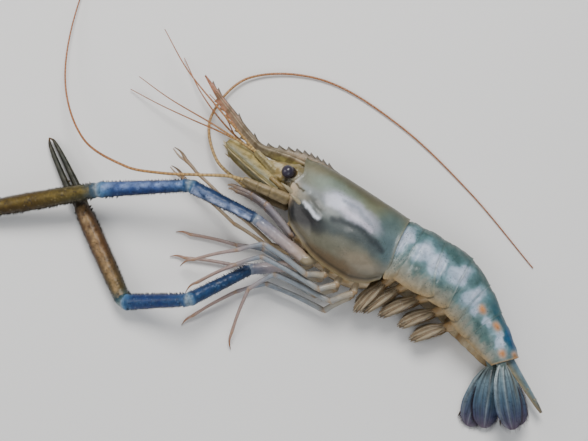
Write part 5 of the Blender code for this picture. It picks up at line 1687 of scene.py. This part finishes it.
@dataclass
class GreatArm:
    """One of the two long clawed arms, with its rows of small spines."""

    hairs: Bristles
    side: Side
    joints: tuple[Point, ...]
    spin: float = 1.0  # which side of the arm the densest spines are on
    palm_share: float = 0.6

    def build(self) -> None:
        """Make the five pieces of the arm."""
        root, hip, ischium, elbow, wrist, tip = (np.array(p, float) for p in self.joints)
        label = "arm_" + self.side.value + "_"
        bm = new_mesh()
        weave(bm, round_rows(smooth_path((root, hip, hip + (ischium - hip) * 0.12), 20),
            spread(((0, 3), (0.5, 3.4), (1, 2.6)), 20), 26), (0.42, 0.36, 0.26))
        # The light colour of each length is partly its own paler colour, partly painted highlight; on the
        # left merus it is mostly painted highlight.
        self.length(bm, hip - unit(ischium - hip) * 1, ischium, ((0, 3), (0.1, 3.3), (0.5, 3), (0.9, 2.95),
            (0.97, 3), (1, 2.7)), ((0, (0.48, 0.38, 0.27)), (0.3, (0.44, 0.37, 0.34)),
            (0.7, (0.36, 0.34, 0.38)), (0.93, (0.24, 0.27, 0.35)), (1, (0.34, 0.37, 0.42))), (0.6, 0.52, 0.5),
            60, 0.5, light_turn=-0.6)
        place_piece(label + "upper", bm, LEG, (label + "ischium",))

        bm = new_mesh()
        self.length(bm, ischium, elbow, ((0, 2.5), (0.05, 2.95), (0.12, 2.9), (0.6, 3.25), (0.88, 3.5),
            (0.95, 3.75), (1, 3.3)), ((0, (0.26, 0.32, 0.4)), (0.05, (0.05, 0.09, 0.18)),
            (0.5, (0.025, 0.07, 0.16)), (0.92, (0.035, 0.09, 0.2)), (0.97, (0.14, 0.24, 0.35)),
            (1, (0.26, 0.34, 0.42))), (0.72, 0.79, 1) if self.side is Side.LEFT else (0.05, 0.12, 0.22), 100,
            0.75, light_turn=-0.7 if self.side is Side.LEFT else 0.3)
        place_piece(label + "merus_length", bm, ARM, (label + "merus",))

        bm = new_mesh()
        self.length(bm, elbow, wrist, ((0, 3.1), (0.04, 3.45), (0.1, 3.2), (0.35, 3.4), (0.75, 3.85),
            (0.9, 4.1), (0.955, 4.35), (1, 3.8)), ((0, (0.28, 0.34, 0.4)), (0.04, (0.07, 0.15, 0.28)),
            (0.3, (0.03, 0.07, 0.2)), (0.8, (0.035, 0.08, 0.21)), (0.93, (0.1, 0.22, 0.36)),
            (0.98, (0.24, 0.34, 0.44)), (1, (0.32, 0.36, 0.4))), (0.36, 0.46, 0.7) if self.side is Side.LEFT
            else (0.06, 0.12, 0.22), 117, 0.9)
        place_piece(label + "carpus_length", bm, ARM, (label + "carpus",))
        self.claw(wrist, tip, label)

    def length(self, bm: bmesh.types.BMesh, start: Array, end: Array, sizes: Table,
            stops: Sequence[tuple[float, Colour]], light: Colour, spines: int, spine_size: float,
            domes: tuple[float, float] = (0.8, 0.8), light_turn: float = 0.25) -> None:
        """Add one straight length of the arm with its grain and its spines, a painted highlight on its light
        side and painted shade on the side away from it.

        Args:
            bm: the mesh that takes it.
            start: its near end.
            end: its far end.
            sizes: (share along, radius) pairs.
            stops: colours along it.
            light: colour of its upper, light side: partly the arm's own pale colour, partly painted
                highlight.
            spines: how many.
            spine_size: length of the longest.
            domes: height of its end domes.
            light_turn: where the light side lies, in radians from the top.
        """
        reach = float(np.linalg.norm(end - start))
        count = int(reach / 0.45)
        run = np.linspace(0, 1, count)
        girth = read_table(sizes, run)
        path = start + (end - start) * run[:, None]
        rows = round_rows(path, girth, 44, domes=domes)
        seed = int(abs(start[0]) * 10) + self.side.sign
        here = past_domes(run)[:, None]
        angle = around(44)[None, :]
        relief = 0.10 * ripple(rows, 5, seed) + 0.05 * ripple(rows, 1.8, seed + 3)
        relief = relief - 0.20 * bell(here - 0.9, 0.02) - 0.15 * bell(here - 0.1, 0.02)
        relief = relief - 0.22 * bell(turned(angle - 2), 0.25)
        rows = push_out(rows, relief * (np.abs(here - 0.5) < 0.5))
        tint = ramp(here + 0 * angle, stops)
        # Painted highlight: the band round light_turn takes the light colour, partly the arm's own pale
        # colour.
        top = bell(turned(angle - light_turn * self.spin), 0.62)
        wander = 0.72 + 0.34 * ripple(rows, 6, seed + 9)
        tint = blend(tint, light, 0.75 * top * wander * (np.abs(here - 0.5) < 0.44))
        # Painted shade: the side away from the light band is darkened.
        low = bell(turned(angle - (light_turn - 2.2) * self.spin), 0.6)
        tint = tint * (1 - 0.45 * low[..., None] + 0 * here[..., None])
        weave(bm, rows, tint)

        source = np.random.default_rng(seed + 50)
        ways, sides, ups = frames_along(path)
        for number in range(spines):
            edge = number % 3
            place = 0.05 + 0.89 * (number + source.uniform(-0.7, 0.7)) / spines
            k = int(np.clip(place, 0.04, 0.94) * (count - 1))
            turn = (-1.5, 1.42, source.uniform(-1.3, 1.3))[edge] * self.spin + source.normal(0, 0.12)
            out = ups[k] * math.cos(turn) + sides[k] * math.sin(turn)
            size = spine_size * source.uniform(0.8, 1.15) * (1.5, 1.15, 0.55)[edge]
            shade = tuple(0.01 + 0.3 * float(c) for c in ramp(np.array(place, float), stops))
            spine(bm, path[k] + out * (girth[k] - 0.2), unit(out + ways[k] * 0.3), size, size * 0.36, shade,
                6)

    def claw(self, wrist: Array, tip: Array, label: str) -> None:
        """Add the palm with its fixed finger, and the movable finger.

        Args:
            wrist: where the palm starts.
            tip: where the fingers end.
            label: the start of the pieces' names.
        """
        way = unit(tip - wrist)
        reach = float(np.linalg.norm(tip - wrist))
        palm_end = wrist + way * reach * self.palm_share
        across = unit(np.cross(way, (0, 0, 1)))
        if self.side is Side.LEFT:
            across = -across
        bm = new_mesh()
        stops = ((0, (0.3, 0.34, 0.36)), (0.03, (0.1, 0.15, 0.2)), (0.14, (0.11, 0.1, 0.045)),
            (0.6, (0.12, 0.08, 0.018)), (0.92, (0.09, 0.06, 0.022)), (1, (0.05, 0.045, 0.025)))
        # The palm's light colour: partly its paler band, partly painted highlight.
        light = (0.25, 0.19, 0.06)
        if self.side is Side.RIGHT:
            stops = ((0, (0.28, 0.34, 0.34)), (0.04, (0.05, 0.12, 0.15)), (0.12, (0.11, 0.09, 0.04)),
                (0.5, (0.13, 0.07, 0.03)), (0.9, (0.11, 0.06, 0.025)), (1, (0.05, 0.045, 0.03)))
            light = (0.52, 0.38, 0.22)
        self.length(bm, wrist, palm_end, ((0, 3.5), (0.04, 4.15), (0.09, 4), (0.3, 4.4), (0.65, 4.6),
            (0.9, 4.3), (1, 3.3)), stops, light, 210, 0.9, (0.8, 0.6), 0.1)
        finger_end = tip + across * 0.6
        fixed = (palm_end - way * 6 + across * 1.6, palm_end + way * 1 + across * 2.2,
            palm_end + (finger_end - palm_end) * 0.5 + across * 1.7, palm_end + (finger_end - palm_end) * 0.93
            + across * 0.3, finger_end - across * 1.3)
        self.finger(bm, fixed, -across, ((0, 2.4), (0.2, 2.3), (0.5, 1.85), (0.85, 1.2), (0.96, 0.7),
            (1, 0.25)))
        place_piece(label + "palm_and_finger", bm, CLAW, (label + "palm",))
        moving = (palm_end - way * 1.0 - across * 1.9, palm_end + way * 5 - across * 2.4,
            palm_end + (tip - palm_end) * 0.5 - across * 2.5, palm_end + (tip - palm_end) * 0.9 - across *
            1.9, tip - across * 0.9)
        bm = new_mesh()
        self.finger(bm, moving, across, ((0, 1.9), (0.12, 2.15), (0.5, 1.75), (0.85, 1.2), (0.96, 0.7),
            (1, 0.25)))
        place_piece(label + "moving_finger", bm, CLAW, (label + "dactyl",))

    def finger(self, bm: bmesh.types.BMesh, points: Sequence[Array], inward: Array, sizes: Table) -> None:
        """Add one finger: a tapering, incurved length with teeth on its inner edge and a velvet of hairs.

        Args:
            bm: the mesh that takes it.
            points: its route.
            inward: the direction of its inner edge.
            sizes: (share along, radius) pairs.
        """
        path = smooth_path(points, 110)
        path[:, 2] = np.maximum(path[:, 2], 1)
        run = np.linspace(0, 1, 110)
        girth = read_table(sizes, run)
        rows = round_rows(path, girth, 30, flat=0.9)
        here = past_domes(run)[:, None] + np.zeros((1, 30))
        tint = ramp(here, ((0, (0.09, 0.065, 0.025)), (0.3, (0.05, 0.05, 0.03)), (0.7, (0.045, 0.05, 0.035)),
            (0.93, (0.06, 0.05, 0.03)), (1, (0.22, 0.12, 0.05))))
        angle = around(30)[None, :]
        # Painted highlight: paler along the finger's upper side.
        tint = blend(tint, (0.24, 0.24, 0.2), 0.5 * bell(turned(angle), 0.5) * (0.5 + 0.5 * ripple(rows, 6,
            31)))
        weave(bm, rows, tint)
        source = np.random.default_rng(int(abs(path[0, 0]) * 7))
        ways = unit(np.gradient(path, axis=0))
        for place in (0.16, 0.24, 0.34):
            k = int(place * 109)
            spine(bm, path[k] + inward * girth[k] * 0.75, inward, 1.3, 0.75, (0.2, 0.15, 0.08), 9)
        for _ in range(420):
            k = int(source.uniform(0.08, 0.9) * 109)
            out = unit(np.cross(ways[k], source.normal(size=3)))
            self.hairs.add(path[k] + out * girth[k] * 0.9, out + ways[k] * 0.8, source.uniform(0.5, 1.1),
                0.05, (0.1, 0.085, 0.05))


@dataclass
class Studio:
    """Floor, lights and the camera at the photograph's viewing angle."""

    eye: Point = (0.04242, -0.10511, 0.60598)
    target: Point = (-0.0216, -0.0102, 0.017)
    azimuth: float = math.radians(34)
    elevation: float = math.radians(79)
    lens: float = 70.64
    sensor: float = 36.0

    def build(self) -> None:
        """Set the scene for the prawn."""
        self.floor()
        self.lights()
        self.camera()

    def floor(self) -> None:
        """Make the plain pale floor."""
        bm = bmesh.new()
        bmesh.ops.create_grid(bm, x_segments=2, y_segments=2, size=3, matrix=Matrix.Translation((0, 0,
            -0.0002)))
        mesh = bpy.data.meshes.new("studio_floor")
        bm.to_mesh(mesh)
        bm.free()
        obj = bpy.data.objects.new("studio_floor", mesh)
        bpy.context.scene.collection.objects.link(obj)
        look = bpy.data.materials.new("pale floor")
        look.use_nodes = True
        shader = look.node_tree.nodes["Principled BSDF"]
        shader.inputs["Base Color"].default_value = (0.78, 0.77, 0.76, 1)
        shader.inputs["Roughness"].default_value = 0.6
        mesh.materials.append(look)

    def lights(self) -> None:
        """Hang a broad soft light, a fill and a low rim light, under a pale sky."""
        for name, place, size, power, shade in (("key", (-0.3, 0.5, 0.95), 0.55, 11.5, (1, 0.985, 0.96)),
                ("fill", (0.55, -0.65, 0.75), 0.9, 3.2, (0.93, 0.97, 1)), ("rim", (-0.6, -0.3, 0.45), 0.4,
                1.6, (1, 0.97, 0.93))):
            data = bpy.data.lights.new(name, "AREA")
            data.shape = "DISK"
            data.size = size
            data.energy = power
            data.color = shade
            lamp = bpy.data.objects.new(name, data)
            lamp.location = place
            lamp.rotation_mode = "QUATERNION"
            lamp.rotation_quaternion = (Vector(self.target) - Vector(place)).to_track_quat("-Z", "Y")
            bpy.context.scene.collection.objects.link(lamp)
        world = bpy.data.worlds.new("studio air")
        world.use_nodes = True
        world.node_tree.nodes["Background"].inputs["Color"].default_value = (0.86, 0.9, 0.95, 1)
        world.node_tree.nodes["Background"].inputs["Strength"].default_value = 0.42
        bpy.context.scene.world = world

    def camera(self) -> None:
        """Set the camera from its place, azimuth and elevation."""
        data = bpy.data.cameras.new("camera")
        data.lens = self.lens
        data.sensor_width = self.sensor
        data.sensor_fit = "HORIZONTAL"
        data.clip_start, data.clip_end = 0.01, 20.0
        right = Vector((math.cos(self.azimuth), math.sin(self.azimuth), 0))
        back = Vector((math.sin(self.azimuth) * math.cos(self.elevation), -math.cos(self.azimuth) *
            math.cos(self.elevation), math.sin(self.elevation)))
        up = back.cross(right)
        camera = bpy.data.objects.new("camera", data)
        camera.matrix_world = Matrix.Translation(self.eye) @ Matrix((right, up, back)).transposed().to_4x4()
        bpy.context.scene.collection.objects.link(camera)
        bpy.context.scene.camera = camera


ARM_JOINTS: dict[Side, tuple[Point, ...]] = {Side.LEFT: ((-1, -20, 21.6), (-4.5, -25, 24), (-37.5, -21.8, 26),
    (-75, -26.6, 28), (-115.3, -54.2, 19), (-187, -118.6, 3.4)), Side.RIGHT: ((-1, -20, 12.8),
    (-5.5, -26.5, 12), (-26.6, -43.6, 12), (-42.4, -75.2, 22.5), (-71.9, -94.2, 7), (-157.8, -43.4, 2.6))}


def main() -> None:
    """Build the studio and every piece of the prawn."""
    logging.basicConfig(level=logging.INFO, format="%(message)s")
    Studio().build()
    head_hairs, fan_hairs, under_hairs, leg_hairs, arm_hairs = (Bristles() for _ in range(5))
    Carapace().build()
    Rostrum(head_hairs).build()
    HeadParts(head_hairs).build()
    Abdomen().build()
    TailFan(fan_hairs).build()
    Swimmerets(under_hairs).build()
    WalkingLegs(leg_hairs).build()
    for side in Side:
        GreatArm(arm_hairs, side, ARM_JOINTS[side], side.sign).build()
    head_hairs.build("head_bristles", "shell_olive")
    fan_hairs.build("tail_fringe", "fan_navy")
    under_hairs.build("swimmeret_fringe", "belly_cream")
    leg_hairs.build("leg_bristles", "leg_pale")
    arm_hairs.build("claw_velvet", "claw_olive")


if __name__ == "__main__":
    main()
